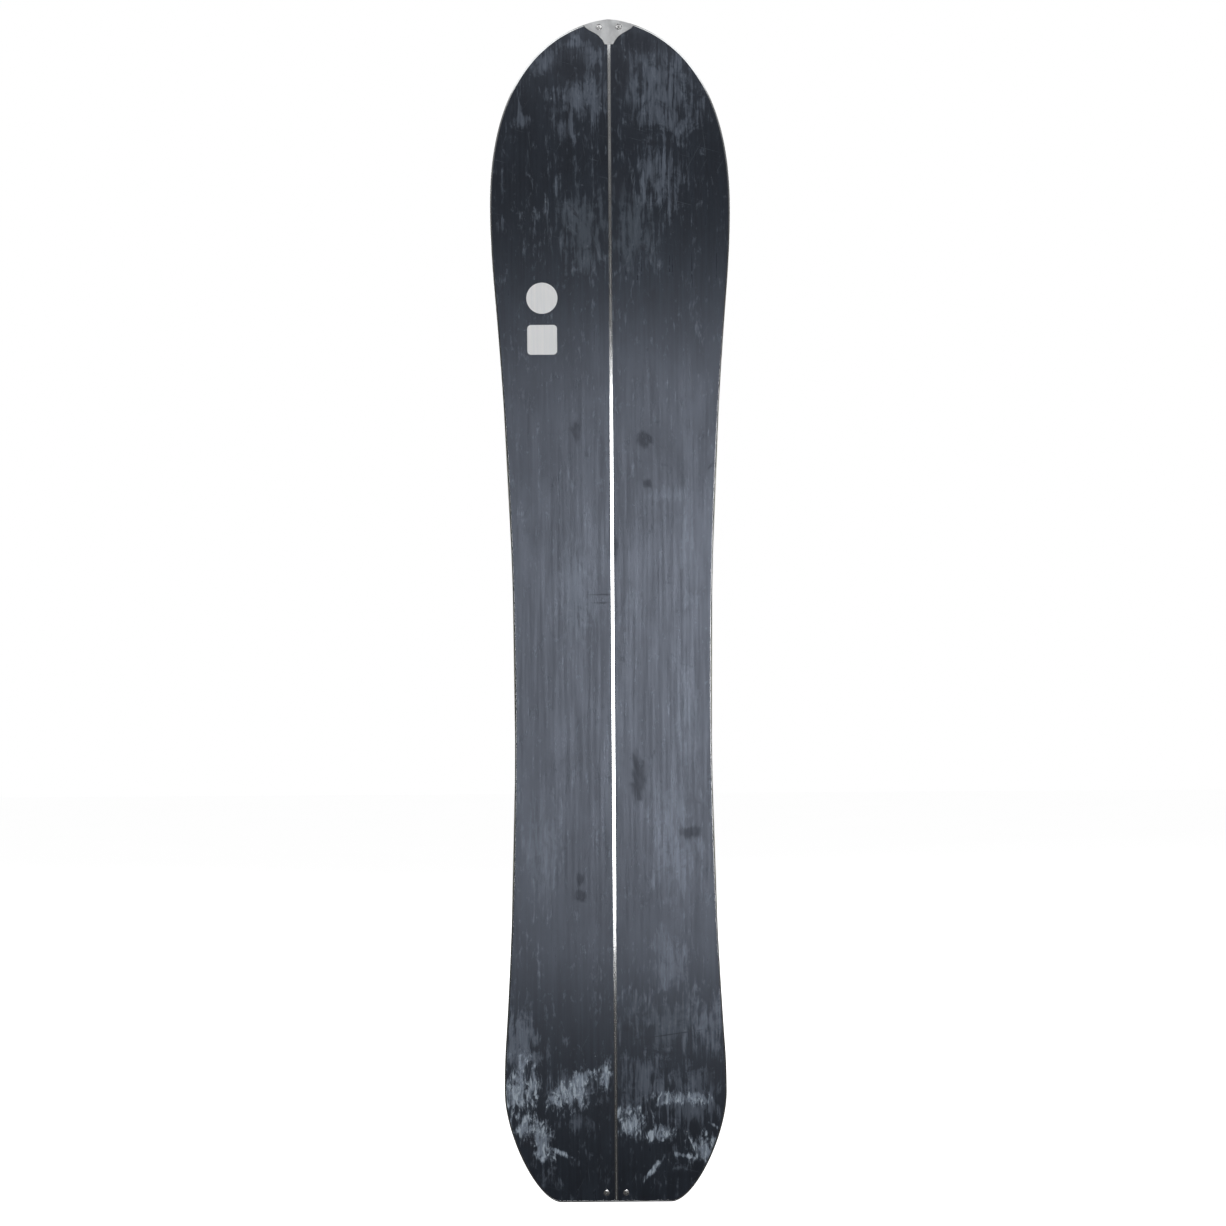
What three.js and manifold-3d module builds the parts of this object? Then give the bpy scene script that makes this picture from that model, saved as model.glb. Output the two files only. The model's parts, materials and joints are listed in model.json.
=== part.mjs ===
// A splitboard: a wide-nosed freeride snowboard made as two halves that lock together.
// Each half is a laminated ski with a steel edge all round. Swinging clips and hooks on the
// top side hold the halves together, and they are parked open here, clear of the seam.
//
// The board stands upright, nose up: X runs across it, Z along it and Y through it.
// The snow side faces -Y. The origin is on the seam, half way along, on the snow side's flat.
// Left and right are as seen from the snow side. Lengths are in millimetres.

import * as THREE from "three";
import { mergeVertices } from "three/addons/utils/BufferGeometryUtils.js";
import Module from "manifold-3d";

const wasm = await Module();
wasm.setup();

// Outline of the board, measured from the seam and from the middle of its length.
const LENGTH = 1600;
const TIP_Z = LENGTH / 2;
const TAIL_Z = -LENGTH / 2;
const NOSE_HALF_WIDTH = 161.4;
const NOSE_LENGTH = 256;
const NOSE_SHOULDER_DROP = 6;
const WAIST_HALF_WIDTH = 132.2;
const WAIST_Z = -136.6;
const SIDECUT_RADIUS = 6717;
const SIDECUT_TOP_Z = 430;
const SIDECUT_BOTTOM_Z = -590;
const TAIL_HALF_WIDTH = 149.3;
const TAIL_LENGTH = 150;
const TAIL_END_HALF_WIDTH = 73.7;
const TAIL_SIDE_PULL = 57.8;
const TAIL_END_PULL = 32.4;

// Side view: flat underfoot, with a long rise to the nose and a short one to the tail.
const NOSE_CONTACT_Z = 300;
const NOSE_RISE = 52;
const NOSE_RISE_POWER = 2.5;
const TAIL_CONTACT_Z = -455;
const TAIL_RISE = 18;
const TAIL_RISE_POWER = 2.2;
const LEAN_STEP = 0.5;

// Layers, from the snow side up. The core thins towards both ends.
const BASE_THICKNESS = 1.3;
const EDGE_WIDTH = 2;
const EDGE_HEIGHT = 2.1;
const BOND_LINE = 0.15;
const LOWER_LAMINATE = 0.7;
const CORE_MIDDLE = 4.6;
const CORE_NOSE = 0.9;
const CORE_TAIL = 1.3;
const UPPER_LAMINATE = 0.6;
const TOPSHEET_THICKNESS = 0.5;
const OUTER_SIDEWALL_WIDTH = 6;
const INNER_SIDEWALL_WIDTH = 4;
const FIT_GAP = 0.3;
const SEAM = 0.2;

// Nose plate, measured from the seam and from the tip.
const PLATE_CORNER_T = 0.298;
const PLATE_STEM_HALF_WIDTH = 5.6;
const PLATE_LENGTH = 35.3;
const PLATE_UPPER_PULL = new THREE.Vector2(27, 19);
const PLATE_LOWER_PULL = new THREE.Vector2(13, 17);

// Fasteners at the two ends.
const END_SCREW_X = 13.2;
const NOSE_SCREW_Z = TIP_Z - 11.5;
const TAIL_SCREW_Z = TAIL_Z + 12.8;
const END_SCREW_HEAD_RADIUS = 4.2;
const END_SCREW_RADIUS = 1.5;
const END_SCREW_SUNK = 0.1;
const END_SCREW_RIM = 0.3;
const END_SCREW_REACH = 1.5;
const COUNTERSINK_DEPTH = 2.3;
const BUSH_RADIUS = 2.6;
const BUSH_BORE_TOP = 2;

// Threaded inserts for the feet and for the touring bracket, on one half.
const FRONT_FOOT_Z = 225;
const REAR_FOOT_Z = -345;
const TOURING_Z = -50;
const TOURING_PITCH = 26;
const INSERT_COLUMN_X = [45, 85];
const INSERT_ROW_PITCH = 40;
const INSERT_RADIUS = 4;
const INSERT_BORE_RADIUS = 2.5;
const INSERT_STRIP_THICKNESS = 0.8;
const INSERT_STRIP_MARGIN = 9;
const INSERT_RIM_SUNK = 0.1;
const INSERT_SIDES = 8;
const HIDDEN_HOLE_SIDES = 6;

// End clips.
const CLIP_SHOULDER_RADIUS = 2.85;
const CLIP_ARM_HALF_WIDTH = 6.5;
const CLIP_ARM_THICKNESS = 2.2;
const CLIP_ARM_LOW = 1.4;
const CLIP_LIP_ANGLE = 0.21;
const CLIP_BUSH_HEAD_RADIUS = 5.6;
const CLIP_POST_HEAD_RADIUS = 5.2;
const CLIP_POST_FOOT_RADIUS = 6.5;
const CLIP_WASHER_RADIUS = 7;
const HOOK_WALL = 4;

// Board hooks.
const FRONT_HOOK_Z = 430;
const REAR_HOOK_Z = -562;
const HOOK_PIVOT_X = 16;
const HOOK_SHOULDER_RADIUS = 3.3;
const HOOK_ARM_HALF_WIDTH = 8;
const HOOK_ARM_THICKNESS = 3;
const HOOK_PLATE_LOW = 0.3;
const HOOK_PLATE_THICKNESS = 2;
const HOOK_PLATE_INNER_X = 4;
const HOOK_PLATE_OUTER_X = 38;
const HOOK_PLATE_HALF_LENGTH = 22;
const HOOK_PLATE_CORNER = 5;
const HOOK_SCREW_X = 30;
const HOOK_SCREW_Z = 15;
const HOOK_SCREW_RADIUS = 2.2;
const HOOK_SCREW_HEAD_RADIUS = 4.2;
const HOOK_SCREW_DEPTH = 4;
const HOOK_HEAD_RADIUS = 6.2;
const RUNNING_GAP = 0.6;
const WORKING_GAP = 0.4;
const ROUND_SIDES = 12;

// Heads of the studs and of the hook screws: a round rim with a slope above it.
const STUD_HEAD_HEIGHT = 1.5;
const STUD_RIM_HEIGHT = 0.8;
const STUD_SLOPE = 1;
const SCREW_HEAD_HEIGHT = 1.9;
const SCREW_RIM_HEIGHT = 1;
const SCREW_SLOPE = 1.6;

const FINISHES = {
  base: { color: 0x3a3f48, roughness: 0.55, metalness: 0 },
  steel: { color: 0xa4a7ab, roughness: 0.35, metalness: 1 },
  plate: { color: 0xaeb0b3, roughness: 0.45, metalness: 1 },
  laminate: { color: 0xb9b893, roughness: 0.5, metalness: 0 },
  core: { color: 0xb98d55, roughness: 0.7, metalness: 0 },
  sidewall: { color: 0x16181b, roughness: 0.5, metalness: 0 },
  topsheet: { color: 0x26323c, roughness: 0.4, metalness: 0 },
  insert: { color: 0xb9a06a, roughness: 0.4, metalness: 1 },
  washer: { color: 0x202226, roughness: 0.6, metalness: 0 },
  clip: { color: 0x8d9196, roughness: 0.3, metalness: 1 },
  hookPlate: { color: 0x23262a, roughness: 0.45, metalness: 1 },
};

// ---- the board's own shape ----------------------------------------------------------------

function point(x, z) {
  return new THREE.Vector2(x, z);
}

// How far the snow side rises above its flat, at a place along the board.
function rise(z) {
  if (z > NOSE_CONTACT_Z) {
    return NOSE_RISE * ((z - NOSE_CONTACT_Z) / (TIP_Z - NOSE_CONTACT_Z)) ** NOSE_RISE_POWER;
  }
  if (z < TAIL_CONTACT_Z) {
    return TAIL_RISE * ((z - TAIL_CONTACT_Z) / (TAIL_Z - TAIL_CONTACT_Z)) ** TAIL_RISE_POWER;
  }
  return 0;
}

// The lean of the board from the vertical, at a place along it.
function lean(z) {
  return Math.atan((rise(z + LEAN_STEP) - rise(z - LEAN_STEP)) / (2 * LEAN_STEP));
}

// The place in space of a point of the outline, at a depth into the board from its snow side.
function bend(x, z, depth) {
  const angle = lean(z);
  return new THREE.Vector3(x, rise(z) + depth * Math.cos(angle), z - depth * Math.sin(angle));
}

// The core keeps its thickness along the flat and thins smoothly beyond it.
function coreThickness(z) {
  const { lerp, smoothstep } = THREE.MathUtils;
  const towardsNose = smoothstep(z, NOSE_CONTACT_Z, TIP_Z);
  const towardsTail = smoothstep(-z, -TAIL_CONTACT_Z, -TAIL_Z);
  return lerp(lerp(CORE_MIDDLE, CORE_NOSE, towardsNose), CORE_TAIL, towardsTail);
}

const LAMINATE_LOW = BASE_THICKNESS + BOND_LINE;
const CORE_LOW = LAMINATE_LOW + LOWER_LAMINATE + BOND_LINE;
const depths = {
  surface: () => 0,
  baseTop: () => BASE_THICKNESS,
  edgeTop: () => EDGE_HEIGHT,
  laminateLow: () => LAMINATE_LOW,
  laminateTop: () => LAMINATE_LOW + LOWER_LAMINATE,
  coreLow: () => CORE_LOW,
  coreTop: (z) => CORE_LOW + coreThickness(z),
  upperLow: (z) => CORE_LOW + coreThickness(z) + BOND_LINE,
  upperTop: (z) => CORE_LOW + coreThickness(z) + BOND_LINE + UPPER_LAMINATE,
  sheetLow: (z) => CORE_LOW + coreThickness(z) + 2 * BOND_LINE + UPPER_LAMINATE,
  sheetTop: (z) => CORE_LOW + coreThickness(z) + 2 * BOND_LINE + UPPER_LAMINATE + TOPSHEET_THICKNESS,
};

function sidecutX(z) {
  return WAIST_HALF_WIDTH + SIDECUT_RADIUS - Math.sqrt(SIDECUT_RADIUS ** 2 - (z - WAIST_Z) ** 2);
}

function sidecutSlope(z) {
  return (z - WAIST_Z) / Math.sqrt(SIDECUT_RADIUS ** 2 - (z - WAIST_Z) ** 2);
}

// How many straight steps make the outline from the tip to the corner of the nose plate.
const TIP_STEPS = 4;

// The short curve from an end of the sidecut to the widest point beyond it.
function sidecutBlend(z, widestX, widestZ) {
  const cornerZ = z + (widestX - sidecutX(z)) / sidecutSlope(z);
  return new THREE.QuadraticBezierCurve(
    point(sidecutX(z), z),
    point(widestX, cornerZ),
    point(widestX, widestZ),
  );
}

const noseCurve = new THREE.CubicBezierCurve(
  point(0, TIP_Z),
  point(0, TIP_Z),
  point(NOSE_HALF_WIDTH, TIP_Z - NOSE_SHOULDER_DROP),
  point(NOSE_HALF_WIDTH, TIP_Z - NOSE_LENGTH),
);
const tailCurve = new THREE.CubicBezierCurve(
  point(TAIL_HALF_WIDTH, TAIL_Z + TAIL_LENGTH),
  point(TAIL_HALF_WIDTH, TAIL_Z + TAIL_LENGTH - TAIL_SIDE_PULL),
  point(TAIL_END_HALF_WIDTH + TAIL_END_PULL, TAIL_Z),
  point(TAIL_END_HALF_WIDTH, TAIL_Z),
);

// Points along a curve, without its first one.
function along(curve, start, end, steps) {
  const points = [];
  for (let i = 1; i <= steps; i += 1) {
    points.push(curve.getPoint(start + ((end - start) * i) / steps));
  }
  return points;
}

// Points down a stretch of the sidecut, without its first one.
function sidecut(fromZ, toZ, steps) {
  const points = [];
  for (let i = 1; i <= steps; i += 1) {
    const z = THREE.MathUtils.lerp(fromZ, toZ, i / steps);
    points.push(point(sidecutX(z), z));
  }
  return points;
}

// The outline of one half, from the tip round its outer side to the end of the tail.
function outline() {
  const noseBlend = sidecutBlend(SIDECUT_TOP_Z, NOSE_HALF_WIDTH, TIP_Z - NOSE_LENGTH);
  const tailBlend = sidecutBlend(SIDECUT_BOTTOM_Z, TAIL_HALF_WIDTH, TAIL_Z + TAIL_LENGTH);
  const sidecutEnds = [SIDECUT_TOP_Z, NOSE_CONTACT_Z, TAIL_CONTACT_Z, SIDECUT_BOTTOM_Z];
  const stretches = [0, 1, 2].map((i) => sidecut(sidecutEnds[i], sidecutEnds[i + 1], 3));
  return [
    ...along(noseCurve, 0, PLATE_CORNER_T, TIP_STEPS),
    ...along(noseCurve, PLATE_CORNER_T, 1, 9),
    ...along(noseBlend, 1, 0, 2),
    ...stretches.flat(),
    ...along(tailBlend, 0, 1, 2),
    ...along(tailCurve, 0, 1, 9),
  ];
}

const contour = outline();

function outward(from, to) {
  return point(from.y - to.y, to.x - from.x).normalize();
}

// The outline moved in by a distance, with its corners kept parallel.
function inset(distance) {
  return contour.map((here, i) => {
    const before = i > 0 ? contour[i - 1] : point(-here.x, here.y);
    const after = i < contour.length - 1 ? contour[i + 1] : point(0, here.y);
    const normal = outward(before, here);
    const bisector = normal.clone().add(outward(here, after)).normalize();
    return here.clone().addScaledVector(bisector, -distance / bisector.dot(normal));
  });
}

// How far out a path is at a place along the board.
function acrossAt(path, z) {
  const i = path.findIndex((here) => here.y <= z);
  const [above, below] = [path[i - 1], path[i]];
  return THREE.MathUtils.mapLinear(z, above.y, below.y, above.x, below.x);
}

// ---- solids -------------------------------------------------------------------------------

function meshGeometry(vertices, faces) {
  const geometry = new THREE.BufferGeometry();
  geometry.setAttribute("position", new THREE.Float32BufferAttribute(vertices, 3));
  geometry.setIndex(faces);
  geometry.computeVertexNormals();
  return geometry;
}

// A closed solid between two paths that run down the board, from one depth to another.
function ribbon(outer, inner, low, high) {
  const vertices = [];
  outer.forEach((outerPoint, i) => {
    const innerPoint = inner[i];
    const ring = [
      [outerPoint, low],
      [outerPoint, high],
      [innerPoint, high],
      [innerPoint, low],
    ];
    ring.forEach(([here, depth]) => vertices.push(...bend(here.x, here.y, depth(here.y))));
  });
  const faces = [0, 1, 2, 0, 2, 3];
  for (let ring = 0; ring < 4 * (outer.length - 1); ring += 4) {
    for (let k = 0; k < 4; k += 1) {
      const a = ring + k;
      const b = ring + ((k + 1) % 4);
      faces.push(a, a + 4, b, b, a + 4, b + 4);
    }
  }
  const last = 4 * (outer.length - 1);
  faces.push(last, last + 2, last + 1, last, last + 3, last + 2);
  return meshGeometry(vertices, faces);
}

// A layer that reaches from a straight line beside the seam to a path. At the tip it starts
// where the path is clear of that line.
function layer(path, seamX, low, high) {
  const outer = path.filter((here) => here.x > seamX + FIT_GAP);
  const seamSide = outer.map((here) => point(seamX, here.y));
  return ribbon(outer, seamSide, low, high);
}

// A straight bar beside the seam, bent at the same places as the layers next to it.
function seamBar(innerX, outerX, topZ, bottomZ, low, high) {
  const between = contour.map((here) => here.y).filter((z) => z < topZ - 2 && z > bottomZ + 2);
  const places = [topZ, ...between, bottomZ];
  const outer = places.map((z) => point(outerX, z));
  const inner = places.map((z) => point(innerX, z));
  return ribbon(outer, inner, low, high);
}

function toManifold(geometry) {
  const bare = geometry.clone();
  bare.deleteAttribute("normal");
  bare.deleteAttribute("uv");
  const merged = mergeVertices(bare, 1e-4);
  const vertProperties = new Float32Array(merged.attributes.position.array);
  const triVerts = new Uint32Array(merged.index.array);
  return new wasm.Manifold(new wasm.Mesh({ numProp: 3, vertProperties, triVerts }));
}

function fromManifold(solid) {
  const { vertProperties, triVerts } = solid.getMesh();
  return meshGeometry(Array.from(vertProperties), Array.from(triVerts));
}

function cut(geometry, tools) {
  const solid = tools.reduce((left, tool) => left.subtract(toManifold(tool)), toManifold(geometry));
  return fromManifold(solid);
}

function join(geometries) {
  const [first, ...others] = geometries.map(toManifold);
  return fromManifold(others.reduce((whole, next) => whole.add(next), first));
}

// A cone or cylinder square to the board, between two depths at a place on it.
function plug(x, z, lowDepth, highDepth, lowRadius, highRadius, sides) {
  const height = highDepth - lowDepth;
  const geometry = new THREE.CylinderGeometry(highRadius, lowRadius, height, sides);
  geometry.rotateX(-lean(z));
  const middle = bend(x, z, (lowDepth + highDepth) / 2);
  return geometry.translate(middle.x, middle.y, middle.z);
}

// ---- holes --------------------------------------------------------------------------------

const PAST = 5;

function insertRows(middleZ) {
  const places = [];
  for (const x of INSERT_COLUMN_X) {
    for (const row of [-0.5, 0.5]) {
      places.push(point(x, middleZ + row * INSERT_ROW_PITCH));
    }
  }
  return places;
}

const insertGroups = {
  front: insertRows(FRONT_FOOT_Z),
  touring: [point(50, TOURING_Z), point(80, TOURING_Z), point(65, TOURING_Z + TOURING_PITCH)],
  rear: insertRows(REAR_FOOT_Z),
};

// A hole in a layer under the topsheet has fewer sides, and is wider across its corners.
function holeRadius(radius, sides) {
  return sides === HIDDEN_HOLE_SIDES ? (radius + FIT_GAP) / Math.cos(Math.PI / sides) : radius + FIT_GAP;
}

function insertHoles(sides) {
  const radius = holeRadius(INSERT_RADIUS, sides);
  return Object.values(insertGroups)
    .flat()
    .map(({ x, y }) => plug(x, y, CORE_LOW - 1, CORE_LOW + CORE_MIDDLE + PAST, radius, radius, sides));
}

function hookScrewHoles(sides) {
  const radius = holeRadius(HOOK_SCREW_RADIUS, sides);
  const places = [FRONT_HOOK_Z, REAR_HOOK_Z].flatMap((z) => [z - HOOK_SCREW_Z, z + HOOK_SCREW_Z]);
  return places.map((z) => {
    const top = depths.sheetTop(z);
    return plug(HOOK_SCREW_X, z, top - HOOK_SCREW_DEPTH - FIT_GAP, top + PAST, radius, radius, sides);
  });
}

// The wide hole for the bush above, and the countersunk one for the screw below.
function bushHole(z, sides) {
  const radius = holeRadius(BUSH_RADIUS, sides);
  return plug(END_SCREW_X, z, CORE_LOW - BOND_LINE, CORE_LOW + 2 * PAST, radius, radius, sides);
}

function screwHole(z) {
  const radius = END_SCREW_RADIUS + FIT_GAP;
  const mouth = END_SCREW_HEAD_RADIUS + FIT_GAP;
  const foot = COUNTERSINK_DEPTH + FIT_GAP;
  const cone = plug(END_SCREW_X, z, FIT_GAP, foot, mouth, radius, ROUND_SIDES);
  const lip = plug(END_SCREW_X, z, -1, 2 * FIT_GAP, mouth, mouth, ROUND_SIDES);
  return [cone, lip];
}

function topHoles(sides) {
  const bushes = [NOSE_SCREW_Z, TAIL_SCREW_Z].map((z) => bushHole(z, sides));
  return [...insertHoles(sides), ...hookScrewHoles(sides), ...bushes];
}

// ---- the pieces of one half ---------------------------------------------------------------

function plateFlank(grow) {
  const corner = noseCurve.getPoint(PLATE_CORNER_T);
  const flank = new THREE.CubicBezierCurve(
    point(corner.x + grow, corner.y),
    point(PLATE_UPPER_PULL.x + grow, TIP_Z - PLATE_UPPER_PULL.y - grow),
    point(PLATE_LOWER_PULL.x + grow, TIP_Z - PLATE_LOWER_PULL.y - grow),
    point(PLATE_STEM_HALF_WIDTH + grow, TIP_Z - PLATE_LENGTH),
  );
  return along(flank, 0, 1, 7);
}

function nosePlate() {
  const path = [...along(noseCurve, 0, PLATE_CORNER_T, TIP_STEPS), ...plateFlank(0)];
  return cut(layer(path, SEAM, depths.surface, depths.baseTop), screwHole(NOSE_SCREW_Z));
}

// The snow-side sheet fills the space between the steel edges and round the nose plate.
function baseSheet() {
  const path = inset(EDGE_WIDTH + FIT_GAP);
  const flank = plateFlank(FIT_GAP + BOND_LINE).slice(1);
  const besidePlate = flank.map((here) => point(acrossAt(path, here.y), here.y));
  const belowPlateZ = TIP_Z - PLATE_LENGTH - FIT_GAP;
  const seamX = SEAM + EDGE_WIDTH + FIT_GAP;
  const stemStep = point(acrossAt(path, belowPlateZ), belowPlateZ);
  const rest = path.filter((here) => here.y < belowPlateZ - 1);
  const outer = [...besidePlate, stemStep, ...rest];
  const inner = [...flank, ...[stemStep, ...rest].map((here) => point(seamX, here.y))];
  return cut(ribbon(outer, inner, depths.surface, depths.baseTop), screwHole(TAIL_SCREW_Z));
}

function outerEdge() {
  const outer = contour.slice(TIP_STEPS);
  const inner = inset(EDGE_WIDTH).slice(TIP_STEPS);
  outer.push(point(SEAM, TAIL_Z));
  inner.push(point(SEAM, TAIL_Z + EDGE_WIDTH));
  return ribbon(outer, inner, depths.surface, depths.edgeTop);
}

function innerEdge() {
  const top = TIP_Z - PLATE_LENGTH - FIT_GAP;
  const bottom = TAIL_Z + EDGE_WIDTH + FIT_GAP;
  return seamBar(SEAM, SEAM + EDGE_WIDTH, top, bottom, depths.surface, depths.edgeTop);
}

function lowerLaminate() {
  const path = inset(EDGE_WIDTH + FIT_GAP);
  const sheet = layer(path, SEAM + EDGE_WIDTH + FIT_GAP, depths.laminateLow, depths.laminateTop);
  return cut(sheet, [...screwHole(NOSE_SCREW_Z), ...screwHole(TAIL_SCREW_Z)]);
}

function woodCore() {
  const path = inset(OUTER_SIDEWALL_WIDTH + FIT_GAP);
  const core = layer(path, SEAM + INNER_SIDEWALL_WIDTH + FIT_GAP, depths.coreLow, depths.coreTop);
  const pockets = Object.values(insertGroups).map((places) => stripBlank(places, FIT_GAP));
  return cut(core, [...topHoles(HIDDEN_HOLE_SIDES), ...pockets]);
}

function outerSidewall() {
  const outer = [point(SEAM, contour[0].y), ...contour, point(SEAM, TAIL_Z)];
  const path = inset(OUTER_SIDEWALL_WIDTH);
  const inner = [point(SEAM, path[0].y), ...path, point(SEAM, path.at(-1).y)];
  return ribbon(outer, inner, depths.coreLow, depths.coreTop);
}

function innerSidewall() {
  const top = TIP_Z - OUTER_SIDEWALL_WIDTH - 2 * FIT_GAP;
  const bottom = TAIL_Z + OUTER_SIDEWALL_WIDTH + FIT_GAP;
  return seamBar(SEAM, SEAM + INNER_SIDEWALL_WIDTH, top, bottom, depths.coreLow, depths.coreTop);
}

function upperLaminate() {
  const sheet = layer(inset(FIT_GAP), SEAM, depths.upperLow, depths.upperTop);
  return cut(sheet, topHoles(HIDDEN_HOLE_SIDES));
}

function topsheet() {
  return cut(layer(contour, SEAM, depths.sheetLow, depths.sheetTop), topHoles(INSERT_SIDES));
}

// The thin plate under a group of inserts. It lies in the flat of the board.
function stripBlank(places, grow) {
  const xs = places.map((place) => place.x);
  const zs = places.map((place) => place.y);
  const margin = INSERT_STRIP_MARGIN + grow;
  const width = Math.max(...xs) - Math.min(...xs) + 2 * margin;
  const length = Math.max(...zs) - Math.min(...zs) + 2 * margin;
  const low = grow > 0 ? CORE_LOW - 1 : CORE_LOW;
  const high = CORE_LOW + INSERT_STRIP_THICKNESS + grow;
  const blank = new THREE.BoxGeometry(width, high - low, length);
  const x = (Math.max(...xs) + Math.min(...xs)) / 2;
  const z = (Math.max(...zs) + Math.min(...zs)) / 2;
  return blank.translate(x, (low + high) / 2, z);
}

// A retention strip with its threaded barrels pressed in, flush with the topsheet.
function insertStrip(places) {
  const rim = depths.sheetTop(0) - INSERT_RIM_SUNK;
  const floor = CORE_LOW + INSERT_STRIP_THICKNESS / 2;
  const barrels = places.map(({ x, y }) =>
    plug(x, y, floor, rim, INSERT_RADIUS, INSERT_RADIUS, INSERT_SIDES),
  );
  const bores = places.map(({ x, y }) =>
    plug(x, y, floor + 1, rim + 1, INSERT_BORE_RADIUS, INSERT_BORE_RADIUS, INSERT_SIDES),
  );
  return cut(join([stripBlank(places, 0), ...barrels]), bores);
}

// A countersunk screw, its head flush with the snow side. Its height runs into the board.
function endScrew(z) {
  const length = depths.sheetTop(z) + END_SCREW_REACH;
  const profile = [
    [0, END_SCREW_SUNK],
    [END_SCREW_HEAD_RADIUS, END_SCREW_SUNK],
    [END_SCREW_HEAD_RADIUS, END_SCREW_RIM],
    [END_SCREW_RADIUS, COUNTERSINK_DEPTH],
    [END_SCREW_RADIUS, length],
    [0, length],
  ];
  return turned(profile, ROUND_SIDES);
}

// ---- hardware on the top side ---------------------------------------------------------------

function turned(profile, sides) {
  return new THREE.LatheGeometry(profile.map(([radius, height]) => new THREE.Vector2(radius, height)), sides);
}

// The bore of a bush, from its closed end down to its foot in the board.
function bushBore(foot) {
  const radius = END_SCREW_RADIUS + FIT_GAP;
  return [
    [0, BUSH_BORE_TOP],
    [radius, BUSH_BORE_TOP],
    [radius, foot],
    [BUSH_RADIUS, foot],
  ];
}

// The head of a stud, from the outside of its shoulder to the middle of its top.
function studHead(shoulder, low, radius) {
  return [
    [shoulder, low],
    [radius, low],
    [radius, low + STUD_RIM_HEIGHT],
    [radius - STUD_SLOPE, low + STUD_HEAD_HEIGHT],
    [0, low + STUD_HEAD_HEIGHT],
  ];
}

function clipHead(radius) {
  const low = CLIP_ARM_LOW + CLIP_ARM_THICKNESS + WORKING_GAP;
  return studHead(CLIP_SHOULDER_RADIUS, low, radius);
}

// The bush that an end clip turns on. The end screw comes up into it.
function clipBush(foot) {
  const shoulder = [
    [BUSH_RADIUS, FIT_GAP],
    [CLIP_SHOULDER_RADIUS, FIT_GAP],
  ];
  return turned([...bushBore(foot), ...shoulder, ...clipHead(CLIP_BUSH_HEAD_RADIUS)], ROUND_SIDES);
}

// The post that an end clip catches, with a broad foot and a cap.
function clipPost(foot) {
  const flange = [
    [BUSH_RADIUS, FIT_GAP],
    [CLIP_POST_FOOT_RADIUS, FIT_GAP],
    [CLIP_POST_FOOT_RADIUS, CLIP_ARM_LOW - WORKING_GAP],
    [CLIP_SHOULDER_RADIUS, CLIP_ARM_LOW - WORKING_GAP],
  ];
  return turned([...bushBore(foot), ...flange, ...clipHead(CLIP_POST_HEAD_RADIUS)], ROUND_SIDES);
}

function clipWasher() {
  const inner = CLIP_SHOULDER_RADIUS + FIT_GAP;
  const profile = [
    [inner, FIT_GAP],
    [CLIP_WASHER_RADIUS, FIT_GAP],
    [CLIP_WASHER_RADIUS, CLIP_ARM_LOW - FIT_GAP],
    [inner, CLIP_ARM_LOW - FIT_GAP],
    [inner, FIT_GAP],
  ];
  return turned(profile, ROUND_SIDES);
}

// A flat arm from its pivot to a hook round the post. The walls of the hook's mouth are arcs
// about the pivot, so that the post runs straight in as the arm swings shut.
function hookArm({ reach, halfWidth, thickness, pivotRadius, postRadius }) {
  const mouth = postRadius + RUNNING_GAP;
  const back = mouth + HOOK_WALL;
  const sideAngle = Math.asin(halfWidth / (reach - mouth));
  const lipRadius = (back - mouth) / 2;
  const lipReach = reach + mouth + lipRadius;
  const lipX = lipReach * Math.cos(CLIP_LIP_ANGLE);
  const lipY = lipReach * Math.sin(CLIP_LIP_ANGLE);
  const shape = new THREE.Shape();
  shape.absarc(0, 0, halfWidth, Math.PI / 2, 1.5 * Math.PI, false);
  shape.lineTo(reach, -back);
  shape.absarc(reach, 0, back, -Math.PI / 2, 0, false);
  shape.absarc(0, 0, reach + back, 0, CLIP_LIP_ANGLE, false);
  shape.absarc(lipX, lipY, lipRadius, CLIP_LIP_ANGLE, CLIP_LIP_ANGLE + Math.PI, false);
  shape.absarc(0, 0, reach + mouth, CLIP_LIP_ANGLE, 0, true);
  shape.absarc(reach, 0, mouth, 0, -Math.PI, true);
  shape.absarc(0, 0, reach - mouth, 0, sideAngle, false);
  shape.lineTo(0, halfWidth);
  const hole = new THREE.Path();
  hole.absarc(0, 0, pivotRadius + FIT_GAP, 0, 2 * Math.PI, true);
  shape.holes.push(hole);
  const settings = { depth: thickness, bevelEnabled: false, curveSegments: 4 };
  const arm = new THREE.ExtrudeGeometry(shape, settings);
  return arm.translate(0, 0, -thickness / 2).rotateX(Math.PI / 2);
}

function hookPlate() {
  const length = 2 * HOOK_PLATE_HALF_LENGTH;
  const width = HOOK_PLATE_OUTER_X - HOOK_PLATE_INNER_X;
  const shape = new THREE.Shape();
  const r = HOOK_PLATE_CORNER;
  const [x0, x1] = [HOOK_PLATE_INNER_X, HOOK_PLATE_INNER_X + width];
  const [z0, z1] = [-length / 2, length / 2];
  shape.absarc(x1 - r, z0 + r, r, -Math.PI / 2, 0, false);
  shape.absarc(x1 - r, z1 - r, r, 0, Math.PI / 2, false);
  shape.absarc(x0 + r, z1 - r, r, Math.PI / 2, Math.PI, false);
  shape.absarc(x0 + r, z0 + r, r, Math.PI, 1.5 * Math.PI, false);
  for (const z of [-HOOK_SCREW_Z, HOOK_SCREW_Z]) {
    const hole = new THREE.Path();
    hole.absarc(HOOK_SCREW_X, z, HOOK_SCREW_RADIUS + FIT_GAP, 0, 2 * Math.PI, true);
    shape.holes.push(hole);
  }
  return shape;
}

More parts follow.
